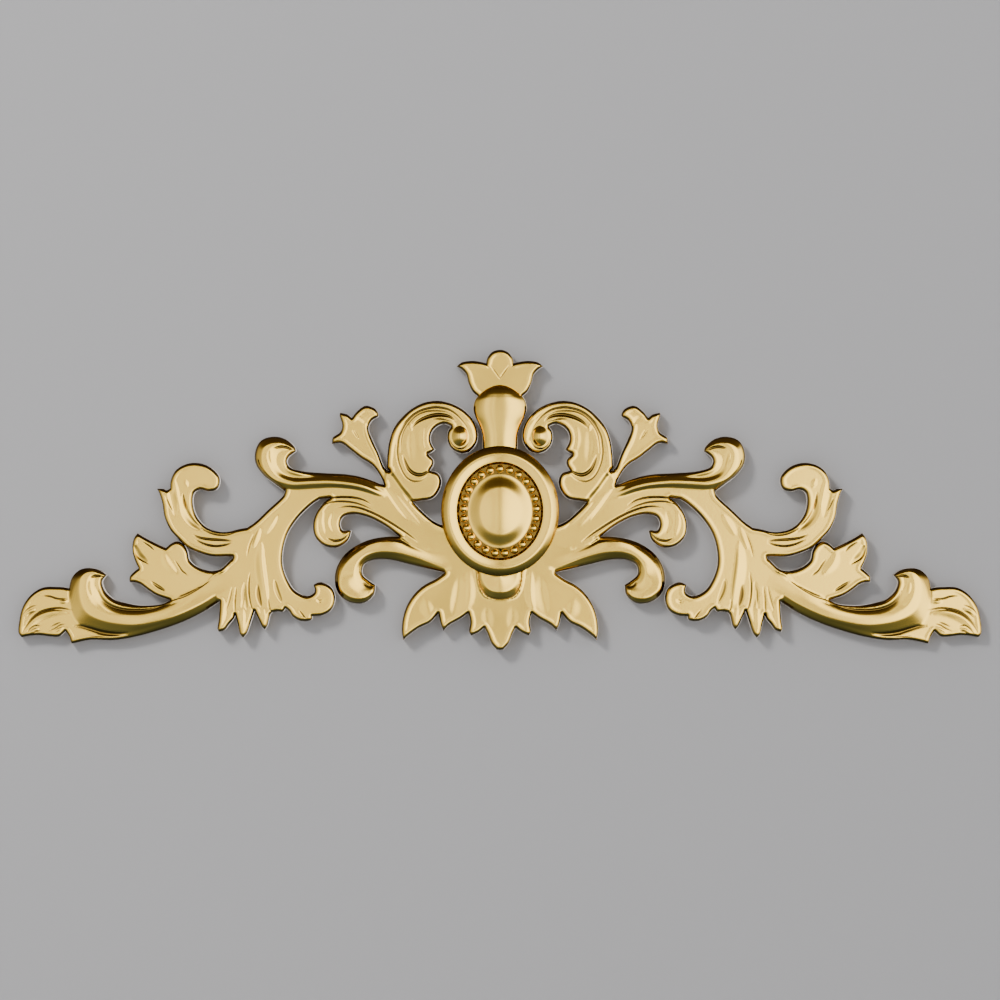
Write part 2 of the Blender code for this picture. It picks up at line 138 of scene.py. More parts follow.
motif([
    [(205, -45), (216, -38.7), (222.6, -38), (229, -38.4), (234.6, -41.8), (238.8, -47.8), (240.6, -55),
     (240.9, -61.3)],
    [(239.4, -63.2), (235, -62.4), (230, -62.2), (225, -62.8), (220.6, -62.8)],
    [(217.4, -60.2), (215.7, -62.8)],
    [(214.4, -66.4), (205, -64.5), (193, -64.6), (182, -62.8), (170.3, -59.6), (158, -55.2), (148.4, -50.5)],
    [(140.2, -45.3), (150, -42), (180, -50)],
], height=6.4)
cut([(239, -61), (237.5, -58.3), (234.5, -54), (231, -51), (227.5, -49.5), (223.5, -48.7), (220, -48.5),
     (216.5, -49), (214, -49.6)], 0.6, 0.36)
stroke([(237, -59.5), (234.5, -56), (231, -53), (226, -50.9), (221, -50.3), (216, -50.8)], 0.45, 3.4, 1.2)
cut([(228.5, -42.4), (225, -42.7), (221.5, -43.8), (216.5, -43.9)], 0.55, 0.28)
stroke([(221, -45.3), (218.5, -45.4), (216.2, -45)], 0.35, 1.2, 0.9)
cut([(238.8, -52), (237, -49.6), (234.6, -48), (231.6, -47)], 0.4, 0.2)
stroke([(237.6, -52.4), (235.6, -50.4), (232, -48.8)], 0.35, 0.9, 0.8)
cut([(236.6, -53.2), (234.8, -51.4), (231.8, -49.9)], 0.4, 0.18)
cut([(237, -61.3), (234.8, -58.8), (232.2, -57.2), (229.4, -57.6)], 0.4, 0.2)
stroke([(235.4, -61.4), (233.4, -59.6), (230.4, -58.7)], 0.35, 0.9, 0.8)
cut([(233.8, -61.6), (232.2, -60.3), (229.8, -59.7)], 0.4, 0.18)
cut([(225.6, -60), (222.8, -58.7), (220.2, -57.1), (217.4, -56.4)], 0.4, 0.2)
cut([(224.8, -57.8), (222.2, -56.6), (219.4, -55.5)], 0.4, 0.18)
stroke([(223.5, -60.6), (221, -59.4), (218.2, -57.9)], 0.35, 0.9, 0.9)
cut([(205.5, -62.4), (201, -62.9), (196.5, -63.1)], 0.4, 0.16)


# Tail scroll and bough: the roll that curls up over the tail leaf and runs on as the bough's long stem. Its
# outer side falls steeply to the leaf, its underside slopes away, and a channel follows its inner rim.
FACE = 8.4
motif([
    [(213, -58.3), (214.6, -50), (216, -44), (215.6, -38.3), (214, -33), (210.2, -29.4), (205, -28.5),
     (199.5, -29.9)],
    [(196.6, -32), (198.7, -34.6), (199, -36), (197.4, -40.2), (193, -44.2), (187.5, -46), (179.6, -47.2),
     (170, -46.6)],
    [(165.2, -44.8), (155, -41), (147, -36.5), (141, -31.5), (133, -25)],
    [(122, -28), (124, -44)],
    [(140.2, -45.3), (148.4, -50.5), (158, -55.2), (170.3, -59.6), (182, -62.6), (187.5, -62.8),
     (192.5, -62.7), (197.5, -61.7), (201.5, -59.6), (207.5, -58)],
], bands=[
    [(118, -37, 8.4), (132, -41.5, 8), (140.2, -45.3, 6.6), (148.4, -50.5, 6), (158, -55.2, 5.8),
     (170.3, -59.6), (180, -62), (188, -63.2), (195, -63), (201, -62.2), (206, -60.6), (210.5, -58.6),
     (213.4, -56), (215.4, -51), (216, -45), (215.9, -39.5, 6), (214.8, -35.5, 6.2), (212.8, -32),
     (209.6, -29.4), (205, -28.5), (201, -29.2, 6.6), (197, -31.6, 7.8)],
    [(118, -35, 8.4), (132, -37), (142, -42, 8.5), (147.5, -45.6, 8.7), (155, -49.6, 8.9), (162.5, -52.8, 9),
     (167.5, -54.3), (175, -56), (180, -56.8), (186, -56.9), (191.5, -56.3), (196.5, -55.3), (201, -53.8),
     (204.5, -52), (207.5, -49.3), (209.3, -46), (210.3, -42), (210.5, -38), (209.8, -34), (208, -31.4),
     (205, -30.2, 8.9), (201.5, -30.3, 8.7), (197.8, -31.9, 8.3)],
    [(118, -33, 8.4), (134, -34), (147.5, -41.6, 8.6), (155, -45.4, 8.9), (161, -48.3, 9.1),
     (166, -50.3, 9.2), (172.5, -52.3), (179, -53.6), (185, -53.9), (190, -53.6), (195, -52.6), (199, -50.8),
     (202.5, -48.2), (205, -45), (206.5, -41.5), (207, -37.5), (206.3, -33.8), (204.2, -32, 9),
     (201.2, -31.6, 8.8), (198.2, -32.3, 8.4)],
    [(118, -31, 8.4), (136, -31.5), (148, -38, 8.5), (157, -43.4, 8.7), (162, -46.4, 8.8), (166, -48.3, 8.9),
     (170, -49.8, 9), (175, -51), (180, -51.8), (187, -51.8), (191, -51.2), (195, -49.9), (198, -48),
     (200.6, -45.2, 8.8), (202, -42, 8.7), (203, -38), (203, -35), (202, -33, 8.6)],
    [(118, -29.5, 8.4), (137, -30.4), (148.4, -37.3, 8.5), (157.6, -42.6, 8.6), (162, -45.4, 8.4),
     (166, -46.8, 8.2), (170, -48, 8.1), (175, -49.1, 8.0), (180, -49.6, 7.9), (185, -49.6), (190, -49),
     (194, -47.7, 8.0), (197, -45.9, 8.1), (199.2, -43.4, 8.2), (200.7, -40.4, 8.3), (201.4, -37.4, 8.6),
     (201.4, -34.8), (200.8, -33.4)],
    [(118, -28, 8.4), (138, -29), (148.8, -36.5), (158, -42, 8.5), (162, -44.5), (166, -45.8),
     (170, -46.9, 8.7), (175, -47.8), (180, -48.4), (186, -48.3), (190, -47.6), (194, -46, 8.8), (197, -43.6),
     (199, -40.8), (200, -37.6), (199.8, -35, 8.7)],
    [(118, -26, 8.4), (133, -25), (141, -31.5), (147, -36.5), (155, -41), (165.2, -44.8, 7.8),
     (170, -46.4, 7.2), (179.6, -47), (187.5, -45.8), (193, -44, 7.4), (197.3, -40.1, 7.8), (198.9, -36, 8.2),
     (198.6, -34.6)],
])
stroke([(163, -45.6), (170, -48), (175, -49.1), (180, -49.6), (185, -49.6), (190, -49), (194, -47.7),
        (197, -45.9), (199.2, -43.4), (200.7, -40.4)], -0.15, 1.0, 1.0, painted_dark=1.0)
stroke([(203, -28.6), (207, -28.9), (211, -30.6), (213.9, -34.6), (215.4, -40), (215.6, -45)], -0.3, 1.0, 3.4,
       painted_dark=0.8)
stroke([(213, -57.4), (209, -57.8), (205, -58.8), (201, -60), (197, -60.9), (192, -61.3), (186.5, -61)],
       -0.5, 2.0, 1.6, painted_dark=0.9)
cut([(204.6, -33.2), (202.4, -32.5), (200, -32.4), (198.2, -33.1)], 0.9, 0.45)
stroke([(204.6, -34.6), (204.6, -38), (203.6, -42)], 0.25, 1.2, 1.4)


# Small leaf: a three-lobed leaf that lies in the fork between the bough and the upper leaf, cast with them in
# brass. It lies a little lower than they do, so that their edges stand out over it.
motif([
    [(165, -44.6), (171.6, -42.4), (176, -39.7), (180, -36.7), (182.2, -35.9)],
    [(185.3, -35.6), (185.4, -33), (183.2, -30.4)],
    [(180.9, -28.6), (182.3, -25.8), (183.9, -20.4), (183.4, -14.1)],
    [(181.4, -11), (177, -13.6), (171.2, -16.6)],
    [(167.2, -18.4), (164.6, -16.2), (161.5, -15.1), (158.4, -16.8), (156.2, -20.4), (155.4, -24.3),
     (151.6, -27.8), (145.4, -29.9), (140.4, -29.2), (136.4, -25.9)],
    [(134.4, -23.8), (130, -27)],
    [(133, -29), (141, -33.5), (147, -38.5), (155, -43)],
], height=8.0)
cut([(178.6, -15.5), (175.4, -17.4), (172.6, -20)], 0.5, 0.28)
stroke([(183, -17), (181, -22.6), (176.4, -26)], -1.0, 1.0, 3.4, painted_dark=0.3)
cut([(162.6, -24.4), (160.6, -27.4), (158.8, -30), (156, -32.1)], 0.5, 0.32)
stroke([(174.2, -35.3), (171, -37.4), (167.3, -39.7)], -0.5, 1.4, 0.7, painted_dark=0.7)
cut([(164.5, -44.7), (157.5, -42.6), (150, -38.4), (144.5, -34.4)], 0.45, 0.2)
stroke([(146.5, -35.4), (142.6, -31.8), (140.6, -30.6), (138.6, -29.8), (135.4, -26)], 0.5, 1.1, 0.8)
stroke([(168.4, -21), (166.5, -26), (162, -31)], 0.25, 3.0, 3.0)


# Upper leaf: the leaf that rolls up and inwards over the bough, with a spur on its outer side and a channel
# along its inner rim, cast in brass with the bough that it grows from.
motif([
    [(130, -23), (135.5, -22.8), (144, -22.8), (150.5, -21), (156, -18.5), (160.9, -14.1), (165, -9.5),
     (167.9, -2.9), (169, 3.9), (170.6, 9.1)],
    [(171.7, 11.2), (168.4, 11.1)],
    [(166.7, 10.3)],
    [(165.1, 11.4), (164.8, 15.1), (162.5, 20.1), (157.9, 23.2), (151.7, 24.1), (145, 22), (140.4, 17.2),
     (140.2, 13.5), (141.7, 10.7), (145.5, 9.7), (150, 10.6), (152.9, 8.9), (153.6, 4.3), (152.3, -1.4),
     (148.4, -6.8), (143.4, -9.7), (136.7, -10.4), (130.9, -9.1)],
    [(126.5, -8.3), (118, -14), (120, -24)],
], FACE)
cut([(166.8, 6.4), (165.4, 3.4), (163.8, 0.4)], 0.55, 0.36)
stroke([(165.6, 11), (164.2, 5), (162.4, -2)], -0.5, 1.4, 3.0)
cut([(158.4, 9), (158, 5), (157, 0.6)], 0.8, 0.36)
stroke([(158, 6.5), (156.6, 0), (153.4, -5), (148.6, -9)], -0.9, 3.4, 1.3)
cut([(149.6, -8.2), (147, -9.9), (143.5, -11.3), (139, -12), (135, -11.6), (133, -10.9)], 0.65, 0.44)
cut([(153.4, -11.9), (150, -13.3), (145, -14.1), (140, -14.4), (134, -14.9)], 0.8, 0.45)
cut([(152.4, -14.3), (147.5, -16.5), (142.5, -17.5), (137.5, -17), (134, -15.9)], 0.65, 0.45)
stroke([(157.6, 15.6), (156.4, 12.2)], 0.35, 1.4, 1.4)
stroke([(162.6, 15), (161.6, 9), (160.4, 3)], 0.3, 1.6, 1.6)


# Acanthus: the broad leaf that hangs from the bough's crown in five pointed fingers and a curled lobe. It is
# cast in brass with the bough, and soft folds and gouged cuts run down its fingers.
motif([
    [(126.5, -8.3), (122.3, -5.3), (116.3, 0.4), (108.2, 8.2)],
    [(107.5, 10.4), (100, 14)],
    [(90.2, 5.8), (93.5, 3.7), (100.7, -3.2), (106.1, -11.3), (108.5, -19.7), (108.6, -27.5), (106.1, -34.7),
     (102.5, -39.8), (96.5, -42.5), (92.8, -40.4)],
    [(93.4, -36.9), (90.5, -35.6), (84.8, -37.7), (82.4, -43.1), (84.2, -49.4), (88.7, -52.2)],
    [(93.8, -52.7), (94.1, -54.4), (99.5, -55.1), (104, -52.7), (105.5, -50.3)],
    [(107.3, -48.8), (108.5, -50.5), (111.5, -50.3)],
    [(113.9, -50.8), (114.8, -51.8), (116.3, -57.5)],
    [(117.5, -59.3), (119, -58.1), (120.5, -55.1)],
    [(122.8, -50), (124.4, -55.1), (126.8, -61.7)],
    [(128.6, -63.5), (130.1, -61.7), (131, -58.1)],
    [(132.5, -51.8), (133.1, -53.9), (135.5, -56.9), (137.6, -59.6)],
    [(140.7, -60.5), (141.4, -58.8), (140.9, -55.1)],
    [(140.2, -45.3), (142, -40)],
    [(138.5, -33), (136, -27)],
    [(134.2, -24), (130, -16)],
], FACE)
stroke([(111.6, -2.8), (114.2, -6.8), (117.2, -11.4)], 0.4, 2.6, 1.5)
stroke([(120.2, -8.8), (121.9, -13.4), (123.6, -18.2)], 0.55, 1.1, 1.9)
stroke([(123, -11.6), (125.2, -17.2), (126.4, -22.4)], -0.4, 0.5, 0.5, painted_dark=0.5)
stroke([(119, -17), (118.9, -24), (118.3, -30), (117.3, -37), (116.2, -45)], 0.8, 4.8, 1.5)
cut([(124.9, -30.8), (125.6, -37), (125.3, -43), (124.3, -47.6), (122.9, -50.6)], 0.65, 0.45)
stroke([(127.4, -36), (127.6, -42), (126.4, -49)], -0.45, 2.0, 1.4, painted_dark=0.4)
stroke([(120.9, -37.2), (120.4, -42), (119.2, -47.6)], -0.55, 1.9, 1.0, painted_dark=1.0)
stroke([(112.5, -34.6), (111.4, -39.6), (109, -45.4)], -0.6, 1.6, 1.4, painted_dark=0.6)
stroke([(133.8, -38), (135, -43.6), (136.8, -49.6)], -0.35, 0.7, 0.6, painted_dark=0.6)
stroke([(131.8, -38), (132.5, -45), (132.6, -51.8)], -0.45, 0.6, 0.7, painted_dark=0.6)
stroke([(128.2, -39), (128.4, -44), (129, -49)], -0.3, 0.8, 0.8)
stroke([(115.8, -44), (115.4, -47.6), (114.2, -51)], -0.4, 0.7, 0.6, painted_dark=0.6)
cut([(100.4, -49.6), (98.6, -51.8), (96.8, -53.8)], 0.5, 0.28)
stroke([(91.6, -44.4), (90, -45.2), (88.4, -44.6)], -0.3, 0.9, 1.0)
stroke([(137.6, -46), (138.6, -52), (139.4, -57)], 0.25, 2.0, 2.0)
stroke([(128.8, -49), (128.6, -55), (128.4, -60)], 0.3, 2.0, 2.0)
stroke([(118.4, -49), (118, -53), (117.8, -57)], 0.25, 1.6, 1.6)


# Hook: the long thin leaf that springs off the stem and curls back at its end, cast in brass with it. Its
# crest is a narrow bright edge between a channel above and a steep side below.
motif([
    [(108, 9.9), (113.1, 13.6), (118.2, 17.6), (122.2, 23.4), (122.6, 29.5), (119.8, 35.1), (114, 37.2),
     (107, 35.9), (102.3, 31.6)],
    [(102, 29.7), (105.6, 26.9), (106.5, 24.8), (105.1, 22), (98.6, 19.9), (87.9, 19), (77.1, 18.4),
     (68.7, 16.9), (58.1, 12.8)],
    [(52, 9), (60.5, 7.4), (64, 8.6), (69, 10), (75, 11.2), (82.5, 11.3), (90, 11), (100, 10.5)],
], bands=[
    [(52, 4, 7.8), (60, 6.6), (64.4, 8.6, 7.9), (68.9, 10), (74, 11), (84, 11.3), (96, 10.5),
     (107, 10.1, 7.5), (113.1, 13.6, 6.6), (118.2, 17.6, 6.2), (122.2, 23.4), (122.6, 29.5), (119.8, 35.1),
     (114, 37.2), (107, 35.9, 6.6), (102.3, 31.6, 7.8)],
    [(54, 5.4, 8.2), (60.5, 8, 8.8), (63.8, 9.5, 9.4), (67.6, 10.9, 9.7), (74, 12.4, 9.8), (84.2, 13.5),
     (93.1, 13.4), (104, 13), (112.2, 15.1), (115.6, 17.6), (118.5, 21.4), (119.5, 27), (118.2, 31.8),
     (114.2, 34.2), (108.4, 34, 9.6), (103.6, 31.5, 9)],
    [(56, 7.4, 8.4), (60.4, 9.4, 9), (63.8, 10.9, 9.5), (67.6, 12.5, 9.8), (74, 14, 9.9), (84.2, 15.1),
     (93.1, 15), (104, 14.9), (110.3, 16.9), (113.5, 20), (116, 24.5), (116.6, 28.3), (115.4, 31.2),
     (112.4, 32.6, 9.8), (108.2, 32.6, 9.6), (104.2, 31, 9.2)],
    [(57, 9.6, 8.3), (61, 11.2, 8.4), (64, 12.6, 8.5), (67.6, 14.2, 8.6), (74, 15.8, 8.7), (84.2, 17),
     (92, 17, 8.6), (97, 16.6, 8.5), (101, 16.5), (105.5, 17.4, 8.6), (109.2, 19.4, 8.8), (111.3, 22.4, 9),
     (111.8, 25.5, 9.1), (110.6, 28.4, 9.2), (108, 30.2), (104.8, 30.5, 9.1)],
    [(57.6, 11.6, 7.8), (60.5, 12.6), (67.6, 15.7), (74, 17.2), (84.2, 18.2), (92, 18.5, 8.2),
     (97, 18.6, 8.8), (101, 19.5, 9.2), (104.6, 21.4, 9.4), (106.6, 24.4), (106.2, 27.4, 9.3),
     (104, 29.6, 9)],
    [(58.1, 12.9, 7.6), (68.7, 16.9, 7.4), (77.1, 18.4, 7.2), (87.9, 19), (94, 19.4, 7.6), (98.6, 19.9, 8.4),
     (102, 20.8, 8.8), (105.1, 22, 9.1), (106.4, 24.8, 9.2), (105.5, 26.9, 9.1), (102, 29.7, 8.8)],
])
cut([(113, 31.3), (109.2, 32.1), (105.8, 31.5), (103, 30.3)], 1.0, 0.45)
stroke([(114.6, 30.5), (114.4, 26.5), (113, 22)], 0.2, 1.2, 1.2)


# Stem: the flat main stem that carries hook, lily and volute out from behind the medallion. It is brass, in
# one casting with them, and its face is almost plain.
motif([
    [(103, 10), (95, 15), (80, 15.5), (66, 13), (60, 13), (57.8, 14.5)],
    [(56.5, 20.6), (50, 16), (45, 9)],
    [(43.3, 4.5), (40, 1), (33.5, -4.8), (29, -7)],
    [(18, -10), (18, -22)],
    [(36, -18), (50, -10), (60, 1), (70, 5.8), (80, 6.9)],
    [(90.2, 5.8), (97, 4), (104, 5)],
], FACE)
stroke([(58.4, 13), (54.6, 7.6), (51, 2.4), (46, -4)], -0.22, 1.3, 1.3)
stroke([(48.6, 9.5), (44, 3.5), (38, -3), (33, -8)], -0.18, 1.2, 1.2)
stroke([(53, 9), (47, 1), (40, -7)], 0.1, 1.6, 1.6)


# Inner curl: the small tendril that runs out under the stem and rolls down and inwards, cast in brass with
# it. Long fine cuts follow its curve.
motif([
    [(88.3, 4.3), (91.8, -0.5), (93.6, -6.5), (92.5, -13), (87.8, -17.5), (81.5, -18.3), (76, -14.8)],
    [(74.2, -10), (75.5, -9.5), (78.5, -9.8), (79.9, -6.5), (78.3, -3), (73.5, -1.7), (66.5, -3),
     (58.5, -6.9)],
    [(50.3, -12.8), (42, -18), (24, -24)],
    [(22, -12), (36, -8), (50, 0), (62, 6), (74, 8), (84, 6.8)],
], FACE)
cut([(90.6, 5.4), (84.6, 6.6), (78, 7), (72, 6.6), (67.5, 5.2), (64, 3)], 0.65, 0.4)
cut([(89.6, 1.8), (86.6, 3.8), (82.5, 4.7), (77.5, 4.8), (72.5, 4.1), (68, 2.6), (63, 0.2)], 0.55, 0.28)
cut([(81.4, 1.5), (78, 2.2), (74.4, 2.3), (70, 1.5), (65, -0.3), (60, -2.7), (55, -5.6), (50, -8.8),
     (45.5, -11.9), (41, -15.4)], 0.65, 0.45)
cut([(70.6, -1.9), (65, -3.7), (60, -6.3), (55, -9.2), (50, -12.2), (46.6, -13.6)], 0.55, 0.36)
cut([(86.4, -13.6), (83, -14.8), (79.6, -14.4), (77, -12.9), (75.2, -10.9)], 0.7, 0.44)
stroke([(88.6, 0), (89.4, -5.5), (88, -11.5)], 0.2, 1.2, 1.6)
stroke([(83.4, -1), (84.4, -6), (83, -10.6)], -0.16, 1.6, 1.6)


# Lower scroll: the tendril that runs out from under the medallion and rolls down over its own end. It is
# cast in brass with the rest, with a rounded crest between two steep rims.
motif([
    [(50.3, -12.8), (56.5, -12.8), (64, -14), (71.5, -17), (78, -22), (82, -29), (82.6, -36.5), (80, -42.5),
     (74.5, -46), (67.5, -45.9), (63, -42)],
    [(62.2, -37), (65.5, -34.8), (68.8, -31.5), (68, -27), (63, -24.5), (55, -24.5), (45, -26.8),
     (35, -29.3)],
    [(27.9, -30.8), (16, -28), (18, -16), (37.6, -19)],
], bands=[
    [(14, -17, 8.4), (28, -19.4), (37.4, -19.8, 8.3), (44, -16.4, 7.4), (50.3, -12.9, 6.8),
     (56.5, -12.8, 6.4), (64, -14, 6.2), (71.5, -17), (78, -22), (82, -29), (82.6, -36.5), (80, -42.5),
     (74.5, -46), (67.5, -45.9, 6.4), (63, -42, 7.2)],
    [(14, -18.5, 8.4), (28, -20.6), (37, -20.7, 8.5), (44, -18.4, 8.8), (50.5, -15.8, 9.1), (58, -15.2, 9.2),
     (64.4, -16.5), (68.9, -18.9), (74, -22.8), (77.8, -27.2), (79.8, -31.5), (80.2, -36.8), (78.2, -40.8),
     (74.6, -43.3), (70.2, -43.9), (65.9, -42.7, 9), (62.8, -39.8, 8.6)],
    [(14, -22, 8.4), (26, -24), (34, -23.2, 8.6), (42, -20.9, 9), (51, -18.2, 9.4), (58, -17.6, 9.5),
     (64, -18.7), (69.5, -21.9), (74, -26.8, 9.4), (76, -32.5, 9.2), (75, -37.5, 9.1), (71, -40.4),
     (64.6, -39.8, 8.8)],
    [(14, -26, 8.4), (24, -27.6), (30.6, -27.2, 8.5), (42.1, -23.3, 8.9), (51.7, -20.9, 9.3),
     (58.7, -20.5, 9.4), (63.8, -21.3), (67.6, -23.1), (70.8, -26.3), (72.3, -30), (71.6, -34, 8.9),
     (68.8, -37.2, 8.4), (63.6, -38.4, 8.2)],
    [(14, -30, 8), (24, -31, 7.8), (28, -31, 7.4), (35, -29.3, 6.8), (45, -26.8, 6.4), (55, -24.5, 6.2),
     (63, -24.5), (68, -27, 6.4), (69, -31, 7), (67, -34, 7.2), (62.2, -37.1, 7.4)],
])
cut([(68.4, -35.2), (66.6, -37.2), (64.4, -37.9), (62.6, -37.7)], 0.9, 0.15)
# A flat stroke with no rise lays umber painted shade along the scroll's upper rim.
stroke([(46, -16.4), (56, -13.8), (64.4, -15.2), (72, -18.6), (78.6, -24.4), (81.4, -31), (81.6, -37),
        (79, -41.4)], 0, 1.8, 1.8, painted_dark=0.7)


# Lily: the small split flower that stands between hook and volute on a thin stalk, cast in brass with the
# stem that it grows from.
motif([
    [(84.1, 33.5), (83.8, 36.7), (80.1, 39.4), (79, 42.6), (80.3, 47.9)],
    [(80, 49.2), (76, 48.2)],
    [(74.2, 46.7), (71.5, 50), (67.3, 52.7), (62.2, 51), (60.6, 47.6), (64, 45.2), (65.7, 41.5),
     (63.5, 35.1), (60.6, 28.7), (58.2, 22.3)],
    [(57.1, 21), (52, 12)],
    [(57.9, 13), (60, 17.5), (64, 22.8), (69.9, 26.6), (75.3, 30.8), (79.5, 33.8)],
], height=7.6)
stroke([(73.6, 40.2), (71, 36.6)], -0.3, 0.4, 0.4, painted_dark=0.4)
stroke([(72.7, 40.4), (70.2, 36)], -0.3, 0.4, 0.4, painted_dark=0.4)
stroke([(67.6, 43.5), (65.8, 36), (62.4, 29.5), (59.4, 22)], 0.4, 1.4, 1.4)
stroke([(72, 47), (68, 45.4), (66.4, 42)], -0.25, 1.6, 1.6)


# Volute: the big C-scroll beside the baluster, cast in brass with the stem. Channels follow its curve, a leaf
# lies in its hollow and a raised eye ends it.
VOLUTE_HEIGHT = 9.6
motif([
    [(56.7, 21.9), (56.4, 28.9), (55.4, 35.5), (53, 41.9), (48.9, 47.2), (43.2, 51.9), (36.5, 54.7),
     (29.2, 55), (22.2, 53), (16.2, 49), (12.2, 43.2), (11, 37.5), (12.2, 32.9), (15.9, 29.4), (20.5, 28.9),
     (24.7, 31.5), (26.5, 35.9), (26, 40.2)],
    [(24.5, 42.2), (27.5, 43.4), (30.9, 42.5), (33.9, 39.5), (34.7, 35.5), (33.2, 31.9)],
    [(32.4, 30.7), (34.2, 29.2)],
    [(35.9, 28.5), (33.2, 25.5), (33.2, 22.9)],
    [(34.9, 20.3), (30.9, 18.9), (29.2, 15.5), (29.9, 11.2), (33.5, 6.3), (40, 4.9)],
    [(43.3, 4.5), (46, 8), (49, 11.5), (52.5, 16.5)],
], VOLUTE_HEIGHT, step=(1.0, 1.3))
cut([(15.2, 38), (17, 42.5), (19.4, 45.8), (22.5, 48.8), (26, 50.8), (31.5, 51.8), (36, 51.3), (40, 50),
     (44, 47.5), (47, 44), (49, 40.5), (50.5, 37), (51.1, 33), (51.3, 29.5), (50.7, 25), (49.5, 21.5),
     (48, 18.5), (46, 16.2), (43.5, 15), (41, 14.9), (38, 16), (35.6, 18.2)], 0.7, 0.4)
cut([(23.5, 47.9), (27.5, 49.6), (31.5, 50.1), (37.5, 49.6), (41.5, 47.9), (44.5, 45.3), (47, 42),
     (48.6, 38.6), (49.4, 34.5), (49.6, 29)], 0.5, 0.24)
stroke([(44, 41.8), (41.4, 44.6), (38, 46.6), (33, 48.1), (28.5, 48.2), (25, 47.2), (22.6, 45.4)],
       -0.65, 1.6, 0.9, painted_dark=1.0)
cut([(34, 46), (29, 46), (24.4, 44.8)], 0.45, 0.2)
stroke([(45, 43.5), (44.4, 40.4)], 0.35, 1.2, 1.2)
stroke([(44.4, 40), (44.8, 33), (43.8, 25)], -0.06, 2.4, 2.8)
stroke([(38.4, 42), (38.8, 36), (38, 30)], 0.07, 1.8, 1.8)
stroke([(48.4, 27.5), (47, 23.4), (45.4, 20.5), (43, 18.6), (40, 18), (37, 19), (34.4, 20.6)], -0.6, 1.0, 1.4,
       painted_dark=1.0)
cut([(25, 36), (23.9, 33.2), (21.8, 31.5), (19.6, 31.2), (17.3, 32.2), (15.2, 35)], 0.5, 0.32)
stroke([(54.4, 26), (54, 32), (52.4, 38), (49.4, 43.6), (44.5, 48)], 0.3, 1.2, 1.2)
stroke([(13.4, 36), (14.4, 41), (17.4, 45.6)], 0.3, 1.4, 1.4)


# Pendant: the spread leaf under the medallion, with a half-round tongue where it comes out from behind it.
# Both are brass, in one casting with the rest; the leaf's folds are shallow and soft.
motif([
    [(0, -28), (20, -26), (27.9, -31), (32.1, -33.9), (37.9, -37), (42.5, -41), (46.3, -46.6), (48.6, -53.3),
     (49.2, -60.4)],
    [(48.4, -64.6), (45.4, -62), (40.4, -58.5), (34.6, -55.6)],
    [(30.9, -51.3), (29.8, -56.6)],
    [(28.3, -60), (25.4, -57.2), (19.6, -53.9)],
    [(15.9, -51.2), (15, -55.4), (15.6, -60.4)],
    [(14.4, -62.4), (10.4, -60.6)],
    [(7.9, -58.5), (6.3, -61.6), (4.2, -66.6)],
    [(1.7, -69.4), (-1.7, -69.4)],
    [(-6, -60), (-8, -40)],
], FACE)
stroke([(15.6, -31), (15.2, -39), (15.6, -44.5), (17.2, -49.6)], 0.16, 2.4, 3.6)
stroke([(36.8, -44.5), (36, -48.5), (34.4, -53)], 0.1, 4.8, 3.4)
stroke([(20.5, -34), (21.2, -42), (23.4, -51)], -0.14, 3.6, 5.2)
stroke([(6.4, -48), (6.6, -53), (5.4, -59)], -0.07, 3.4, 4.0)
motif([
    [(0, -26), (11.2, -26), (11.2, -31), (10.4, -36.8), (8.1, -41.4), (4.7, -43.8)],
    [(0, -44.5), (-4.7, -43.8), (-9, -36), (-6, -26)],
], bands=[
    [(-11, -25, 8.4), (-10.9, -31), (-10.2, -36.4), (-7.8, -41), (-4.5, -43.3), (0, -44), (4.5, -43.3),
     (7.8, -41), (10.2, -36.4), (10.9, -31), (11, -25)],
    [(-10, -25, 9.6), (-9.9, -30), (-9, -34.6, 9.8), (-6.8, -38, 10.2), (-3.9, -40, 10.4), (0, -40.6, 10.5),
     (3.9, -40, 10.4), (6.8, -38, 10.2), (9, -34.6, 9.8), (9.9, -30, 9.6), (10, -25)],
    [(-9, -24, 9.6), (0, -24, 10), (9, -24, 9.6)],
])
cut([(-11, -24), (-10.9, -31), (-10.2, -36.4), (-7.8, -41), (-4.5, -43.3), (0, -44), (4.5, -43.3), (7.8, -41),
     (10.2, -36.4), (10.9, -31), (11, -24)], 0.6, 0.1)


# Tulip: the three-petalled flower that the baluster carries, cast in brass with it. Its back petal stands up
# behind the two that spread.
motif([
    [(9, 54), (10.9, 57), (13.6, 59.4), (15.8, 63.8), (17, 68.2), (19.6, 71)],
    [(21.8, 72.3), (19.2, 74.4), (14, 75.1), (8.8, 74.5)],
    [(7, 74), (6.4, 76.6), (4, 79.6), (0, 80.7), (-4, 79.6)],
    [(-7, 70), (-9, 54)],
], height=7.8)
cut([(7.6, 74.6), (6.4, 72.6), (5.4, 71.6)], 0.4, 0.2)
stroke([(4.8, 73), (2.6, 70), (0.6, 67.2), (-1, 65.2)], -0.3, 0.35, 0.35, painted_dark=0.5)


# Medallion: the oval shield in the middle, a rounded ring with a beaded channel inside it and a low boss that
# rises from the channel in a hollow curve. It is brass and cast with the rest; its ovals are half widths and
# half heights.
OUTLINE = (29.4, 32.5)
RING_CREST = (25.5, 28.1)
RING_FALL = (21.6, 24.6)
CHANNEL_WALL = (20.4, 23.4)
BOSS_FOOT = (16.2, 18.6)
BOSS_CROWN = (9.0, 10.4)
RIM_HEIGHT = 13.0
RING_HEIGHT = 16.0
FALL_HEIGHT = 15.6
CHANNEL_HEIGHT = 12.9
CROWN_HEIGHT = 15.2
BOSS_HEIGHT = 16.0
BEAD_OVAL = (18.2, 21.1)
BEADS = 25
BEAD_RADIUS = 2.1
BEAD_LIFT = 0.35
WALL_HOLLOW = 0.8
SLOPE_PAINTED_SHADE = 0.5
DARK = 0.9
BED_HEIGHT = 4.8
BED_INSET = 0.6
BACK_GAP = 0.3
ROUND = 128
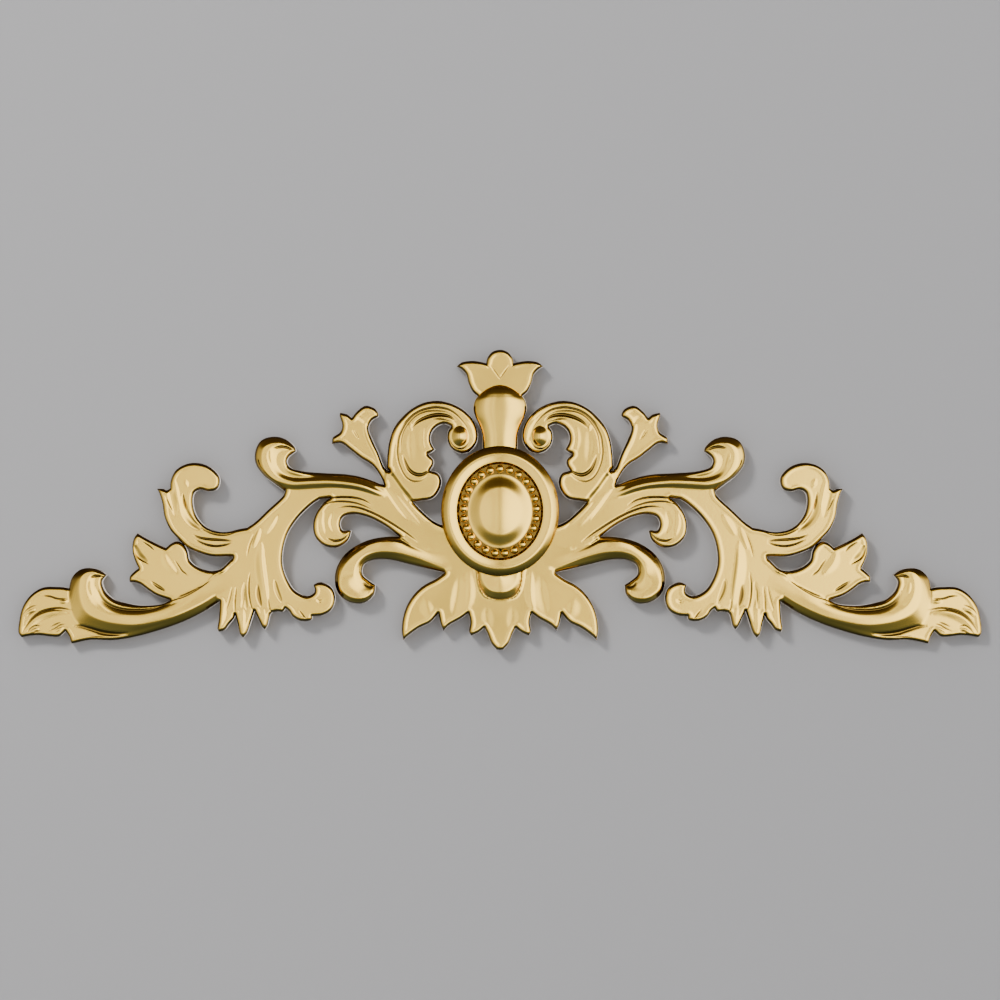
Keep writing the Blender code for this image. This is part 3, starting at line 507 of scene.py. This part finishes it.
STANDING = Matrix.Rotation(pi / 2, 4, "X")


def ease(t):
    """A smooth step from 0 to 1."""
    t = np.clip(t, 0, 1)
    return t * t * (3 - 2 * t)


def between(outer, inner, share):
    """The oval at a share of the way from an outer to an inner one."""
    return tuple(o + (i - o) * share for o, i in zip(outer, inner))


def oval_ring(shape, oval, height, toning, layer):
    """One oval ring of edges at a height above the wall, its vertices carrying a share of umber painted
    shade.
    """
    place = Matrix.Translation((0, -height, 0)) @ STANDING @ Matrix.Diagonal((*oval, 1, 1))
    made = bmesh.ops.create_circle(shape, segments=ROUND, radius=1, matrix=place)
    for vert in made["verts"]:
        vert[layer] = toning
    return list({edge for vert in made["verts"] for edge in vert.link_edges})


def even_oval(oval, count):
    """Places at equal steps round an oval, the first at its top."""
    turn = np.linspace(0, 2 * pi, 721)
    x, z = oval[0] * np.sin(turn), oval[1] * np.cos(turn)
    length = np.concatenate([[0], np.cumsum(np.hypot(np.diff(x), np.diff(z)))])
    stations = np.interp(np.arange(count) / count * length[-1], length, turn)
    return list(zip(oval[0] * np.sin(stations), oval[1] * np.cos(stations)))


def casting_piece(name, mesh):
    """A shown piece of the casting, its mesh already in metres and in its place."""
    mesh.shade_smooth()
    mesh.set_sharp_from_angle(angle=radians(50))
    piece = bpy.data.objects.new(name, mesh)
    bpy.context.scene.collection.objects.link(piece)
    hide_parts("cartouche")
    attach(piece, "root")
    return piece


def finished_mesh(name, shape):
    """A mesh in metres from a shape in millimetres."""
    bmesh.ops.scale(shape, vec=(MM, MM, MM), verts=shape.verts)
    mesh = bpy.data.meshes.new(name)
    shape.to_mesh(mesh)
    shape.free()
    return mesh


# The section from the back over the ring and through the channel to the top of the boss: each station is an
# oval, its height above the wall and how much umber painted shade it carries.
# Umber painted shade darkens the ring's outer slope, the channel's walls, the channel floor between the beads
# and the foot of the boss.
stations = [(OUTLINE, BACK_GAP, 1.0), (OUTLINE, RIM_HEIGHT, 1.0)]
for share in np.linspace(0.06, 1, 14):
    height = RIM_HEIGHT + (RING_HEIGHT - RIM_HEIGHT) * np.sin(share * pi / 2)
    painted_dark = DARK * max(0, 1 - share / SLOPE_PAINTED_SHADE)
    stations.append((between(OUTLINE, RING_CREST, share), height, painted_dark))
for share in np.linspace(0.15, 1, 7):
    height = RING_HEIGHT - (RING_HEIGHT - FALL_HEIGHT) * ease(share)
    stations.append((between(RING_CREST, RING_FALL, share), height, 0.0))
for share in (0.12, 0.4, 0.7, 1):
    height = FALL_HEIGHT - (FALL_HEIGHT - CHANNEL_HEIGHT) * share ** WALL_HOLLOW
    stations.append((between(RING_FALL, CHANNEL_WALL, share), height, DARK))
stations.append((between(CHANNEL_WALL, BOSS_FOOT, 0.5), CHANNEL_HEIGHT, 1.0))
for share in np.linspace(0, 1, 14):
    height = CHANNEL_HEIGHT + (CROWN_HEIGHT - CHANNEL_HEIGHT) * ease(share)
    stations.append((between(BOSS_FOOT, BOSS_CROWN, share), height, DARK * (share == 0)))
for share in (0.15, 0.3, 0.45, 0.6, 0.75, 0.9, 0.97):
    height = CROWN_HEIGHT + (BOSS_HEIGHT - CROWN_HEIGHT) * (1 - (1 - share) ** 2)
    stations.append((between(BOSS_CROWN, (0, 0), share), height, 0.0))

medallion = bmesh.new()
painted_shade_layer = medallion.verts.layers.float.new("toning")
rings = [oval_ring(medallion, *station, painted_shade_layer) for station in stations]
for outer, inner in zip(rings, rings[1:]):
    bmesh.ops.bridge_loops(medallion, edges=outer + inner)
bmesh.ops.edgeloop_fill(medallion, edges=rings[0])
bmesh.ops.edgeloop_fill(medallion, edges=rings[-1])
bmesh.ops.recalc_face_normals(medallion, faces=medallion.faces)
for bead_x, bead_z in even_oval(BEAD_OVAL, BEADS):
    place = Matrix.Translation((bead_x, -CHANNEL_HEIGHT - BEAD_LIFT * BEAD_RADIUS, bead_z)) @ STANDING
    bmesh.ops.create_uvsphere(medallion, u_segments=22, v_segments=14, radius=BEAD_RADIUS, matrix=place)
casting_piece("cartouche_medallion", finished_mesh("medallion", medallion))

# A low bed joins the boughs behind the medallion, and another one behind the baluster.
turn = np.linspace(0, 2 * pi, 90, endpoint=False)
bed = np.column_stack([(OUTLINE[0] - BED_INSET) * np.sin(turn), (OUTLINE[1] - BED_INSET) * np.cos(turn)])
motifs.append((bed, BED_HEIGHT, None, []))


# Baluster: the neck that stands on the medallion and widens to a cup, half round in front as if turned, with
# a domed top that the tulip grows from. It is brass and cast with the rest.
BALUSTER_FOOT = 28.0
BALUSTER_SIDE = 8.0
BALUSTER_TURNS = 64
FLATNESS = 3.4
EDGE_PAINTED_SHADE = 0.8
BED_TOP = 62.0
PAST_MIDDLE = -2.0
side_line = smooth_curve([(8.7, BALUSTER_FOOT), (8.7, 33), (8.9, 38), (10.3, 42.6), (12.5, 47.4),
                          (13.4, 51.4), (12.6, 55.2), (10.6, 58), (7, 60.9), (3, 62.7), (0.3, 63.1)])
FRONT_LINE = ((BALUSTER_FOOT, 4.6), (40, 4.8), (50, 5.8), (56, 5.7), (59, 5.1), (61, 4.1), (62.4, 2.6),
              (63.1, 0.6))


def cut_back(shape, layer, back):
    """Cuts an open sheet's rim straight back to a depth, dark with umber painted shade, and gives the edges
    it ends in.
    """
    rim = [e for e in shape.edges if e.is_boundary]
    walls = bmesh.ops.extrude_edge_only(shape, edges=rim)["geom"]
    for vert in walls:
        if isinstance(vert, bmesh.types.BMVert):
            vert.co.y = back
            vert[layer] = 1
    return [e for e in walls if isinstance(e, bmesh.types.BMEdge) and e.is_boundary]


baluster = bmesh.new()
painted_shade_layer = baluster.verts.layers.float.new("toning")
line = [baluster.verts.new((1, 0, up)) for _, up in side_line]
edges = [baluster.edges.new(pair) for pair in zip(line, line[1:])]
bmesh.ops.spin(baluster, geom=line + edges, cent=(0, 0, 0), axis=(0, 0, -1), angle=pi, steps=BALUSTER_TURNS)
for vert in baluster.verts:
    vert.co.y = -np.interp(vert.co.z, *zip(*FRONT_LINE)) * max(0, 1 - abs(vert.co.x) ** FLATNESS) ** 0.5
    vert.co.x *= np.interp(vert.co.z, side_line[:, 1], side_line[:, 0])
bmesh.ops.translate(baluster, vec=(0, -BALUSTER_SIDE, 0), verts=baluster.verts)
# Umber painted shade darkens the baluster's outer edge, and its cut-back sides fully.
for vert in baluster.verts:
    if vert.is_boundary:
        vert[painted_shade_layer] = EDGE_PAINTED_SHADE
bmesh.ops.edgeloop_fill(baluster, edges=cut_back(baluster, painted_shade_layer, -BACK_GAP))
bmesh.ops.recalc_face_normals(baluster, faces=baluster.faces)
casting_piece("cartouche_baluster", finished_mesh("baluster", baluster))

bed = [(width - BED_INSET, up - BED_INSET) for width, up in side_line[:-4]]
bed = np.array([(PAST_MIDDLE, BALUSTER_FOOT), *bed, (PAST_MIDDLE, BED_TOP)])
motifs.append((bed, BED_HEIGHT, None, []))


# Casting: the boughs with all their leaves, one piece of cast brass with straight sides and a flat back. One
# half is made as a sheet of fine cells, cut out along the outline, raised to the carved heights and closed
# behind. The other half is its mirror image.

# How closely the cells are fitted to the outline.
CELL = 0.45
SNAPPED = 0.35 * CELL
KEPT_OUTSIDE = 1.5 * CELL
ON_OUTLINE = 0.001
ON_MIDDLE = 1e-4
SLOPE_STEP = 0.05
LEAST_STEEPNESS = 0.25
STRAY = 0.05
WELD = 0.02
CORNER_REACH = 1.2
FAR_OUT = 2.0

# How motifs and strokes run out at their edges and ends.
OVERHANG = 0.3
LEAST_GAP = 0.2
BLUNT_END = 0.02
END_WIDTH = 0.4
TAPER = 0.6
PAINTED_SHADE_GAIN = 2.2
SMOOTHINGS = 5

# How the rim is rounded and lipped, and how far in the umber painted shade along it reaches.
SHOULDER = 1.7
SHOULDER_DROP = 2.4
LOWEST_EDGE = 4.8
LOWEST_CUT = 3.8
LIP_RISE = 0.11
LIP_WIDTH = 1.3
PAINTED_SHADE_EDGE = 1.35
FULLY_PAINTED_SHADE = 0.45

# The raised eye of the volute.
EYE = (20.0, 37.4)
EYE_RADII = (4.1, 5.0)
EYE_RISE = 2.3


def nearest_on(x, z, line):
    """How far each place is from a line, the line's nearest point with all its values, how far along the line
    that lies, from 0 to 1, and whether the place is to the left of the line."""
    nearest = np.full(x.shape, np.inf)
    place = np.zeros(x.shape)
    for i, (start, end) in enumerate(zip(line[:-1], line[1:])):
        dx, dz = end[0] - start[0], end[1] - start[1]
        along = np.clip(((x - start[0]) * dx + (z - start[1]) * dz) / (dx * dx + dz * dz), 0, 1)
        squared = (x - start[0] - along * dx) ** 2 + (z - start[1] - along * dz) ** 2
        closer = squared < nearest
        nearest = np.where(closer, squared, nearest)
        place = np.where(closer, i + along, place)
    whole = np.minimum(place.astype(int), len(line) - 2)
    start, end = line[whole], line[whole + 1]
    at = start + (end - start) * (place - whole)[:, None]
    left = (end[:, 0] - start[:, 0]) * (z - start[:, 1]) > (end[:, 1] - start[:, 1]) * (x - start[:, 0])
    return np.sqrt(nearest), at, place / (len(line) - 1), left


def depth_inside(x, z, outline):
    """How far each place lies inside a closed outline, and less than nothing outside it."""
    nearest = np.full(x.shape, np.inf)
    inside = np.zeros(x.shape, bool)
    for (ax, az), (bx, bz) in zip(outline, np.roll(outline, -1, axis=0)):
        dx, dz = bx - ax, bz - az
        along = np.clip(((x - ax) * dx + (z - az) * dz) / (dx * dx + dz * dz), 0, 1)
        nearest = np.minimum(nearest, (x - ax - along * dx) ** 2 + (z - az - along * dz) ** 2)
        if az != bz:
            inside ^= ((az > z) != (bz > z)) & (x < ax + (bx - ax) * (z - az) / (bz - az))
    return np.where(inside, 1, -1) * np.sqrt(nearest)


def close_to(x, z, points, margin):
    """Which places lie in the box round some points, grown by a margin."""
    low, high = points[:, :2].min(axis=0) - margin, points[:, :2].max(axis=0) + margin
    return (x > low[0]) & (x < high[0]) & (z > low[1]) & (z < high[1])


def whole_depth(x, z):
    """How far each place lies inside the outline of the whole, and less than nothing outside it."""
    depth = np.full(x.shape, -FAR_OUT)
    for outline, *_ in motifs:
        near = close_to(x, z, outline, FAR_OUT)
        if near.any():
            depth[near] = np.maximum(depth[near], depth_inside(x[near], z[near], outline))
    return depth


def banded_height(x, z, bands):
    """The height of a face that runs from each band's line to the next."""
    reached = [nearest_on(x, z, line) for line in bands]
    closest = np.full(x.shape, np.inf)
    surface = np.zeros(x.shape)
    for (outer, outer_at, *_), (inner, inner_at, *_) in zip(reached, reached[1:]):
        gap = np.hypot(outer_at[:, 0] - inner_at[:, 0], outer_at[:, 1] - inner_at[:, 1])
        stretch = (outer + inner) / np.maximum(gap, LEAST_GAP)
        share = outer / np.maximum(outer + inner, TINY)
        here = outer_at[:, 2] + (inner_at[:, 2] - outer_at[:, 2]) * share
        surface = np.where(stretch < closest, here, surface)
        closest = np.minimum(stretch, closest)
    return surface


def face_height(x, z):
    """The height of the highest motif over each place, before its rim and its strokes."""
    height = np.full(x.shape, BED_HEIGHT)
    for outline, level, step, bands in motifs:
        near = close_to(x, z, outline, OVERHANG)
        if not near.any():
            continue
        px, pz = x[near], z[near]
        inside = depth_inside(px, pz, outline)
        surface = banded_height(px, pz, bands) if bands else np.full(px.shape, float(level))
        if step:
            edge = 1 - np.clip(inside / step[0], 0, 1)
            surface = surface - step[1] * (1 - np.sqrt(1 - edge ** 2))
        height[near] = np.where(inside > -OVERHANG, np.maximum(height[near], surface), height[near])
    return height


def stroke_rise(x, z):
    """What the strokes add to each height, and how dark the umber painted shade is that they lay on each
    place.
    """
    added = np.zeros(x.shape)
    toning = np.zeros(x.shape)
    for line, rise, left_width, right_width, painted_dark in strokes:
        near = close_to(x, z, line, max(left_width, right_width))
        if not near.any():
            continue
        reach, _, along, left = nearest_on(x[near], z[near], line)
        taper = np.sin(np.clip(along, BLUNT_END, 1 - BLUNT_END) * pi) ** TAPER
        width = np.where(left, left_width, right_width) * (END_WIDTH + (1 - END_WIDTH) * taper)
        strength = ease(1 - reach / width) * taper
        added[near] += rise * strength
        toning[near] = np.maximum(toning[near], painted_dark * np.clip(PAINTED_SHADE_GAIN * strength, 0, 1))
    return added, toning


def out_and_up(shape):
    """How far out and how far up each vertex of a shape lies."""
    return np.array([v.co.x for v in shape.verts]), np.array([v.co.z for v in shape.verts])


# A grid over one half, with the points close to the outline moved onto it.
low, high = (np.array(corner) / MM for corner in solid_box)
columns = int(high[0] / CELL) + 2
rows = int((high[2] - low[2]) / CELL) + 3
size = Vector((columns * CELL, rows * CELL))
centre = Matrix.Translation((size.x / 2, 0, low[2] - CELL + size.y / 2))
sheet_frame = centre @ STANDING @ Matrix.Diagonal((size.x / 2, size.y / 2, 1, 1))
casting = bmesh.new()
bmesh.ops.create_grid(casting, x_segments=columns, y_segments=rows, size=1, matrix=sheet_frame)
depth_layer = casting.verts.layers.float.new("depth")
x, z = out_and_up(casting)
depth = whole_depth(x, z)
near = np.abs(depth) < SNAPPED
near_x, near_z = x[near], z[near]
slope_x = whole_depth(near_x + SLOPE_STEP, near_z) - whole_depth(near_x - SLOPE_STEP, near_z)
slope_z = whole_depth(near_x, near_z + SLOPE_STEP) - whole_depth(near_x, near_z - SLOPE_STEP)
slope_x /= 2 * SLOPE_STEP
slope_z /= 2 * SLOPE_STEP
steepness = np.maximum(slope_x ** 2 + slope_z ** 2, LEAST_STEEPNESS)
x[near] -= np.where(near_x < ON_MIDDLE, 0, depth[near] * slope_x / steepness)
z[near] -= depth[near] * slope_z / steepness
depth[near] = 0
for vert, new_x, new_z, value in zip(casting.verts, x, z, depth):
    vert.co = (new_x, 0, new_z)
    vert[depth_layer] = value
far = [v for v, value in zip(casting.verts, depth) if value < -KEPT_OUTSIDE]
bmesh.ops.delete(casting, geom=far, context="VERTS")

# The cells that the outline crosses are cut along it, and what lies outside goes.
crossing = {}
for edge in casting.edges:
    start, end = (v[depth_layer] for v in edge.verts)
    if start * end < 0:
        crossing[edge] = start / (start - end)
bmesh.ops.bisect_edges(casting, edges=list(crossing), cuts=1, edge_percents=crossing)
bmesh.ops.connect_verts(casting, verts=[v for v in casting.verts if abs(v[depth_layer]) < ON_OUTLINE])
outside = [f for f in casting.faces if min(v[depth_layer] for v in f.verts) < -ON_OUTLINE]
bmesh.ops.delete(casting, geom=outside, context="FACES")
thin = [f for f in casting.faces if max(v[depth_layer] for v in f.verts) < CELL / 2]
centres = [f.calc_center_median() for f in thin]
middle = whole_depth(np.array([c.x for c in centres]), np.array([c.z for c in centres]))
stray = [face for face, value in zip(thin, middle) if value < -STRAY]
bmesh.ops.delete(casting, geom=stray, context="FACES")
bmesh.ops.remove_doubles(casting, verts=casting.verts, dist=WELD)
pinches = True
while pinches:
    pinches = [v for v in casting.verts if sum(e.is_boundary for e in v.link_edges) > 2]
    faces = {face for v in pinches for face in v.link_faces}
    bmesh.ops.delete(casting, geom=list(faces), context="FACES")

# Each sharp corner that shows on the outline gets a vertex of its own.
for corner_x, corner_z in corners:
    tips = [v for v in casting.verts if v.is_boundary
            and abs(v.co.x - corner_x) < CORNER_REACH and abs(v.co.z - corner_z) < CORNER_REACH]
    if tips and corner_x > 0:
        tip = min(tips, key=lambda v: (v.co.x - corner_x) ** 2 + (v.co.z - corner_z) ** 2)
        tip.co.x, tip.co.z = corner_x, corner_z
bmesh.ops.recalc_face_normals(casting, faces=casting.faces)
if sum(f.normal.y for f in casting.faces) > 0:
    bmesh.ops.reverse_faces(casting, faces=casting.faces)

# The cells under strokes that lay painted shade are halved, and the sheet is raised and its steps softened.
x, z = out_and_up(casting)
in_cut = {v for v, painted_dark in zip(casting.verts, stroke_rise(x, z)[1]) if painted_dark > 0}
finer = [e for e in casting.edges if in_cut.intersection(e.verts)]
bmesh.ops.subdivide_edges(casting, edges=finer, cuts=1, use_grid_fill=True)
x, z = out_and_up(casting)
for vert, raised in zip(casting.verts, face_height(x, z)):
    vert.co.y = -raised
for _ in range(SMOOTHINGS):
    bmesh.ops.smooth_vert(casting, verts=casting.verts, factor=0.5, use_axis_y=True)
height = -np.array([v.co.y for v in casting.verts])

# How far each place lies inside the outline as cut, which the rounded and lipped rim and its band of painted
# shade follow.
rim = [e for e in casting.edges if e.is_boundary]
silhouette = [e for e in rim if max(v.co.x for v in e.verts) > ON_MIDDLE]
posts = [Vector((v.co.x, y, v.co.z)) for e in silhouette for v in e.verts for y in (-1, 1)]
panels = [(i, i + 1, i + 3, i + 2) for i in range(0, len(posts), 4)]
fence = BVHTree.FromPolygons(posts, panels)
inside = np.array([fence.find_nearest(Vector((px, 0, pz)))[3] for px, pz in zip(x, z)])

eye = np.hypot((x - EYE[0]) / EYE_RADII[0], (z - EYE[1]) / EYE_RADII[1])
height = np.where(eye < 1, VOLUTE_HEIGHT + EYE_RISE * (1 - eye ** 2), height)
floor = np.minimum(height, np.maximum(height - SHOULDER_DROP, LOWEST_EDGE))
rounding = 1 - np.sqrt(1 - (1 - np.clip(inside / SHOULDER, 0, 1)) ** 2)
height = height - (height - floor) * rounding
height += LIP_RISE * ease(1 - np.abs(inside - SHOULDER) / LIP_WIDTH)
added, toning = stroke_rise(x, z)
height = np.maximum(height + added, LOWEST_CUT)
# Umber painted shade darkens a band along the whole outline, as well as where the strokes lay it.
toning = np.maximum(toning, ease((PAINTED_SHADE_EDGE - inside) / (PAINTED_SHADE_EDGE - FULLY_PAINTED_SHADE)))
painted_shade_layer = casting.verts.layers.float.new("toning")
for vert, raised, painted_dark in zip(casting.verts, height, toning):
    vert.co.y = -raised
    vert[painted_shade_layer] = painted_dark

back_rim = cut_back(casting, painted_shade_layer, 0)
bmesh.ops.triangle_fill(casting, use_beauty=True, edges=back_rim, normal=(0, 1, 0))
bmesh.ops.recalc_face_normals(casting, faces=casting.faces)
right_half = finished_mesh("right half", casting)
left_half = right_half.copy()
left_half.name = "left half"
left_half.transform(Matrix.Diagonal((-1, 1, 1, 1)))
left_half.flip_normals()
casting_piece("cartouche_right_bough", right_half)
casting_piece("cartouche_left_bough", left_half)


# Finish: polished brass under a gold lacquer. Umber painted shade lies in the cuts, on the cut sides and
# along the edges, and a fine cast grain breaks up the shine.
GOLD = (0.94, 0.62, 0.105, 1)
DEEP_GOLD = (0.9, 0.575, 0.085, 1)
PAINTED_SHADE_UMBER = (0.15, 0.085, 0.018, 1)


def new_nodes(tree):
    """A short way to add a node to a tree with some of its inputs set."""
    def add(kind, settings=(), **inputs):
        node = tree.nodes.new(kind)
        for name, value in dict(settings).items():
            setattr(node, name, value)
        for name, value in inputs.items():
            node.inputs[name].default_value = value
        return node
    return add


def painted_shade_gold_group():
    """The lacquered metal's colour: gold with a faint cloudiness, darkened to umber where painted shade is
    laid.
    """
    group = bpy.data.node_groups.new("gold with painted shade", "ShaderNodeTree")
    group.interface.new_socket("Painted shade strength", in_out="INPUT", socket_type="NodeSocketFloat")
    group.interface.new_socket("Color", in_out="OUTPUT", socket_type="NodeSocketColor")
    group.interface.new_socket("Cloud", in_out="OUTPUT", socket_type="NodeSocketFloat")
    add = new_nodes(group)
    link = group.links.new
    inputs = add("NodeGroupInput")
    output = add("NodeGroupOutput")
    place = add("ShaderNodeTexCoord")
    cloud = add("ShaderNodeTexNoise", Scale=45.0, Detail=3.0, Roughness=0.5)
    link(place.outputs["Object"], cloud.inputs["Vector"])
    metal = add("ShaderNodeMix", {"data_type": "RGBA"})
    metal.inputs["A"].default_value = GOLD
    metal.inputs["B"].default_value = DEEP_GOLD
    link(cloud.outputs["Fac"], metal.inputs["Factor"])
    toning = add("ShaderNodeAttribute", {"attribute_name": "toning"})
    share = add("ShaderNodeMath", {"operation": "MULTIPLY", "use_clamp": True})
    link(toning.outputs["Fac"], share.inputs[0])
    link(inputs.outputs["Painted shade strength"], share.inputs[1])
    painted_dark = add("ShaderNodeMix", {"data_type": "RGBA"})
    link(share.outputs[0], painted_dark.inputs["Factor"])
    link(metal.outputs["Result"], painted_dark.inputs["A"])
    painted_dark.inputs["B"].default_value = PAINTED_SHADE_UMBER
    link(painted_dark.outputs["Result"], output.inputs["Color"])
    link(cloud.outputs["Fac"], output.inputs["Cloud"])
    return group


def lacquered_gold():
    """Metal in gold with umber painted shade, its shine a little uneven and broken up by a fine cast grain.
    """
    material = bpy.data.materials.new("lacquered gold brass")
    material.use_nodes = True
    tree = material.node_tree
    add = new_nodes(tree)
    link = tree.links.new
    shader = tree.nodes["Principled BSDF"]
    shader.inputs["Metallic"].default_value = 1
    metal = add("ShaderNodeGroup")
    metal.node_tree = painted_shade_gold_group()
    metal.inputs["Painted shade strength"].default_value = 0.92
    link(metal.outputs["Color"], shader.inputs["Base Color"])
    shine = add("ShaderNodeMapRange", **{"From Min": 0.3, "From Max": 0.7, "To Min": 0.14, "To Max": 0.18})
    link(metal.outputs["Cloud"], shine.inputs["Value"])
    link(shine.outputs["Result"], shader.inputs["Roughness"])
    place = add("ShaderNodeTexCoord")
    grain = add("ShaderNodeTexNoise", Scale=900.0, Detail=2.0, Roughness=0.6)
    link(place.outputs["Object"], grain.inputs["Vector"])
    bump = add("ShaderNodeBump", Strength=0.04, Distance=0.0002)
    link(grain.outputs["Fac"], bump.inputs["Height"])
    link(bump.outputs["Normal"], shader.inputs["Normal"])
    return material


gold = lacquered_gold()
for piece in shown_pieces():
    piece.data.materials.append(gold)


# Setting: a pale wall that the back lies on, a pale floor below it, and a soft studio that shows in the metal
# as a level bright band, strongest to the right, with brown dusk above it and blue dusk below.
WALL_GAP = 0.0005
FLOOR_Z = -0.6
WALL_WIDTH = 6.0


def plain_paint(name, colour, seen_from_behind):
    """Matt paint, which can be left clear where it is seen from behind."""
    material = bpy.data.materials.new(name)
    material.use_nodes = True
    tree = material.node_tree
    shader = tree.nodes["Principled BSDF"]
    shader.inputs["Base Color"].default_value = colour
    shader.inputs["Roughness"].default_value = 0.9
    if not seen_from_behind:
        clear = tree.nodes.new("ShaderNodeBsdfTransparent")
        facing = tree.nodes.new("ShaderNodeNewGeometry")
        mix = tree.nodes.new("ShaderNodeMixShader")
        tree.links.new(facing.outputs["Backfacing"], mix.inputs["Fac"])
        tree.links.new(shader.outputs["BSDF"], mix.inputs[1])
        tree.links.new(clear.outputs["BSDF"], mix.inputs[2])
        tree.links.new(mix.outputs["Shader"], tree.nodes["Material Output"].inputs["Surface"])
    return material


def stage_plane(name, matrix, material):
    """A square of wall or floor that shows to the camera and not in the metal."""
    plane = bmesh.new()
    bmesh.ops.create_grid(plane, x_segments=1, y_segments=1, size=WALL_WIDTH / 2, matrix=matrix)
    plane_mesh = bpy.data.meshes.new(name)
    plane.to_mesh(plane_mesh)
    plane.free()
    plane_mesh.materials.append(material)
    stage = bpy.data.objects.new(name, plane_mesh)
    bpy.context.scene.collection.objects.link(stage)
    stage.visible_glossy = False


wall_paint = plain_paint("pale wall paint", (0.62, 0.62, 0.63, 1), seen_from_behind=False)
floor_paint = plain_paint("pale floor paint", (0.62, 0.62, 0.62, 1), seen_from_behind=True)
wall_place = Matrix.Translation((0, WALL_GAP, FLOOR_Z + WALL_WIDTH / 2)) @ STANDING
stage_plane("wall", wall_place, wall_paint)
stage_plane("floor", Matrix.Translation((0, 0, FLOOR_Z)), floor_paint)

world = bpy.data.worlds.new("soft studio")
bpy.context.scene.world = world
world.use_nodes = True
tree = world.node_tree
add = new_nodes(tree)
link = tree.links.new
direction = add("ShaderNodeTexCoord")
split = add("ShaderNodeSeparateXYZ")
link(direction.outputs["Generated"], split.inputs["Vector"])


def brightness_along(axis, stops):
    """A smooth ramp over the directions from -1 to 1 along one axis, its stops greys or colours."""
    spread = add("ShaderNodeMapRange", **{"From Min": -1.0, "From Max": 1.0})
    link(split.outputs[axis], spread.inputs["Value"])
    ramp = add("ShaderNodeValToRGB")
    link(spread.outputs["Result"], ramp.inputs["Fac"])
    ramp.color_ramp.interpolation = "EASE"
    elements = ramp.color_ramp.elements
    for place, _ in stops[1:-1]:
        elements.new((place + 1) / 2)
    for element, (_, shade) in zip(elements, stops):
        element.color = shade if isinstance(shade, tuple) else (shade, shade, shade, 1)
    return ramp.outputs["Color"]


def combined(operation, first, second):
    """Two colours multiplied or added."""
    mix = add("ShaderNodeVectorMath", {"operation": operation})
    link(first, mix.inputs[0])
    link(second, mix.inputs[1])
    return mix.outputs["Vector"]


BRIGHTEST = 3.6
across = brightness_along("X", (
    (-1, 0.12), (-0.7, 0.2), (-0.5, 0.28), (-0.36, 0.45), (-0.2, 0.46), (-0.1, 0.3), (-0.05, 0.62),
    (-0.012, 0.02), (0.012, 0.02), (0.05, 0.62), (0.1, 0.92), (0.18, 1.0), (0.5, 1.0), (0.8, 0.9), (1, 0.7)))
level_band = brightness_along("Z", (
    (-1, 0.0), (-0.56, 0.01), (-0.42, 0.3), (-0.3, 0.9), (-0.12, 1.0), (0.15, 1.0), (0.32, 0.9),
    (0.45, 0.25), (0.56, 0.008), (1, 0.0)))
in_front = brightness_along("Y", (
    (-1, 1.0), (0.1, 1.0), (0.35, 0.6), (0.6, 0.1), (0.85, 0.06), (0.95, 0.5), (1, 0.5)))
dusk = brightness_along("Z", (
    (-1, (0.018, 0.024, 0.034, 1)), (-0.75, (0.036, 0.045, 0.06, 1)), (-0.4, (0.075, 0.075, 0.075, 1)),
    (0.4, (0.03, 0.022, 0.014, 1)), (0.8, (0.016, 0.011, 0.006, 1)), (1, (0.012, 0.008, 0.005, 1))))
bright = combined("MULTIPLY", combined("MULTIPLY", across, level_band), in_front)
seen_in_metal = combined("ADD", bright, dusk)
studio = tree.nodes["Background"]
studio.inputs["Strength"].default_value = BRIGHTEST
link(seen_in_metal, studio.inputs["Color"])
ray = add("ShaderNodeLightPath")
pale = add("ShaderNodeBackground")
pale.inputs["Color"].default_value = (0.6, 0.6, 0.61, 1)
choose = add("ShaderNodeMixShader")
link(ray.outputs["Is Glossy Ray"], choose.inputs["Fac"])
link(pale.outputs["Background"], choose.inputs[1])
link(studio.outputs["Background"], choose.inputs[2])
link(choose.outputs["Shader"], tree.nodes["World Output"].inputs["Surface"])


def soft_lamp(name, place, size, watts, colour):
    """A soft lamp that lights the wall and floor; the metal shows the studio and not the lamp."""
    lamp = bpy.data.lights.new(name, "AREA")
    lamp.shape = "RECTANGLE"
    lamp.size, lamp.size_y = size
    lamp.energy = watts
    lamp.color = colour
    holder = bpy.data.objects.new(name, lamp)
    bpy.context.scene.collection.objects.link(holder)
    holder.location = place
    holder.rotation_euler = (Vector((0, 0, 0)) - Vector(place)).to_track_quat("-Z", "Y").to_euler()
    holder.visible_glossy = False


soft_lamp("key", (-1.3, -1.8, 1.5), (0.5, 0.5), 30, (1, 0.97, 0.95))

CAMERA_DISTANCE = 2.5
FRAME_WIDTH = 0.5
FACE_DEPTH = 0.007
PICTURE_CENTRE_Z = 0.0055
camera = bpy.data.cameras.new("camera")
camera.sensor_width = 36
camera.lens = camera.sensor_width * (CAMERA_DISTANCE - FACE_DEPTH) / FRAME_WIDTH
viewer = bpy.data.objects.new("camera", camera)
bpy.context.scene.collection.objects.link(viewer)
viewer.location = (0, -CAMERA_DISTANCE, PICTURE_CENTRE_Z)
viewer.rotation_euler = (pi / 2, 0, 0)
bpy.context.scene.camera = viewer
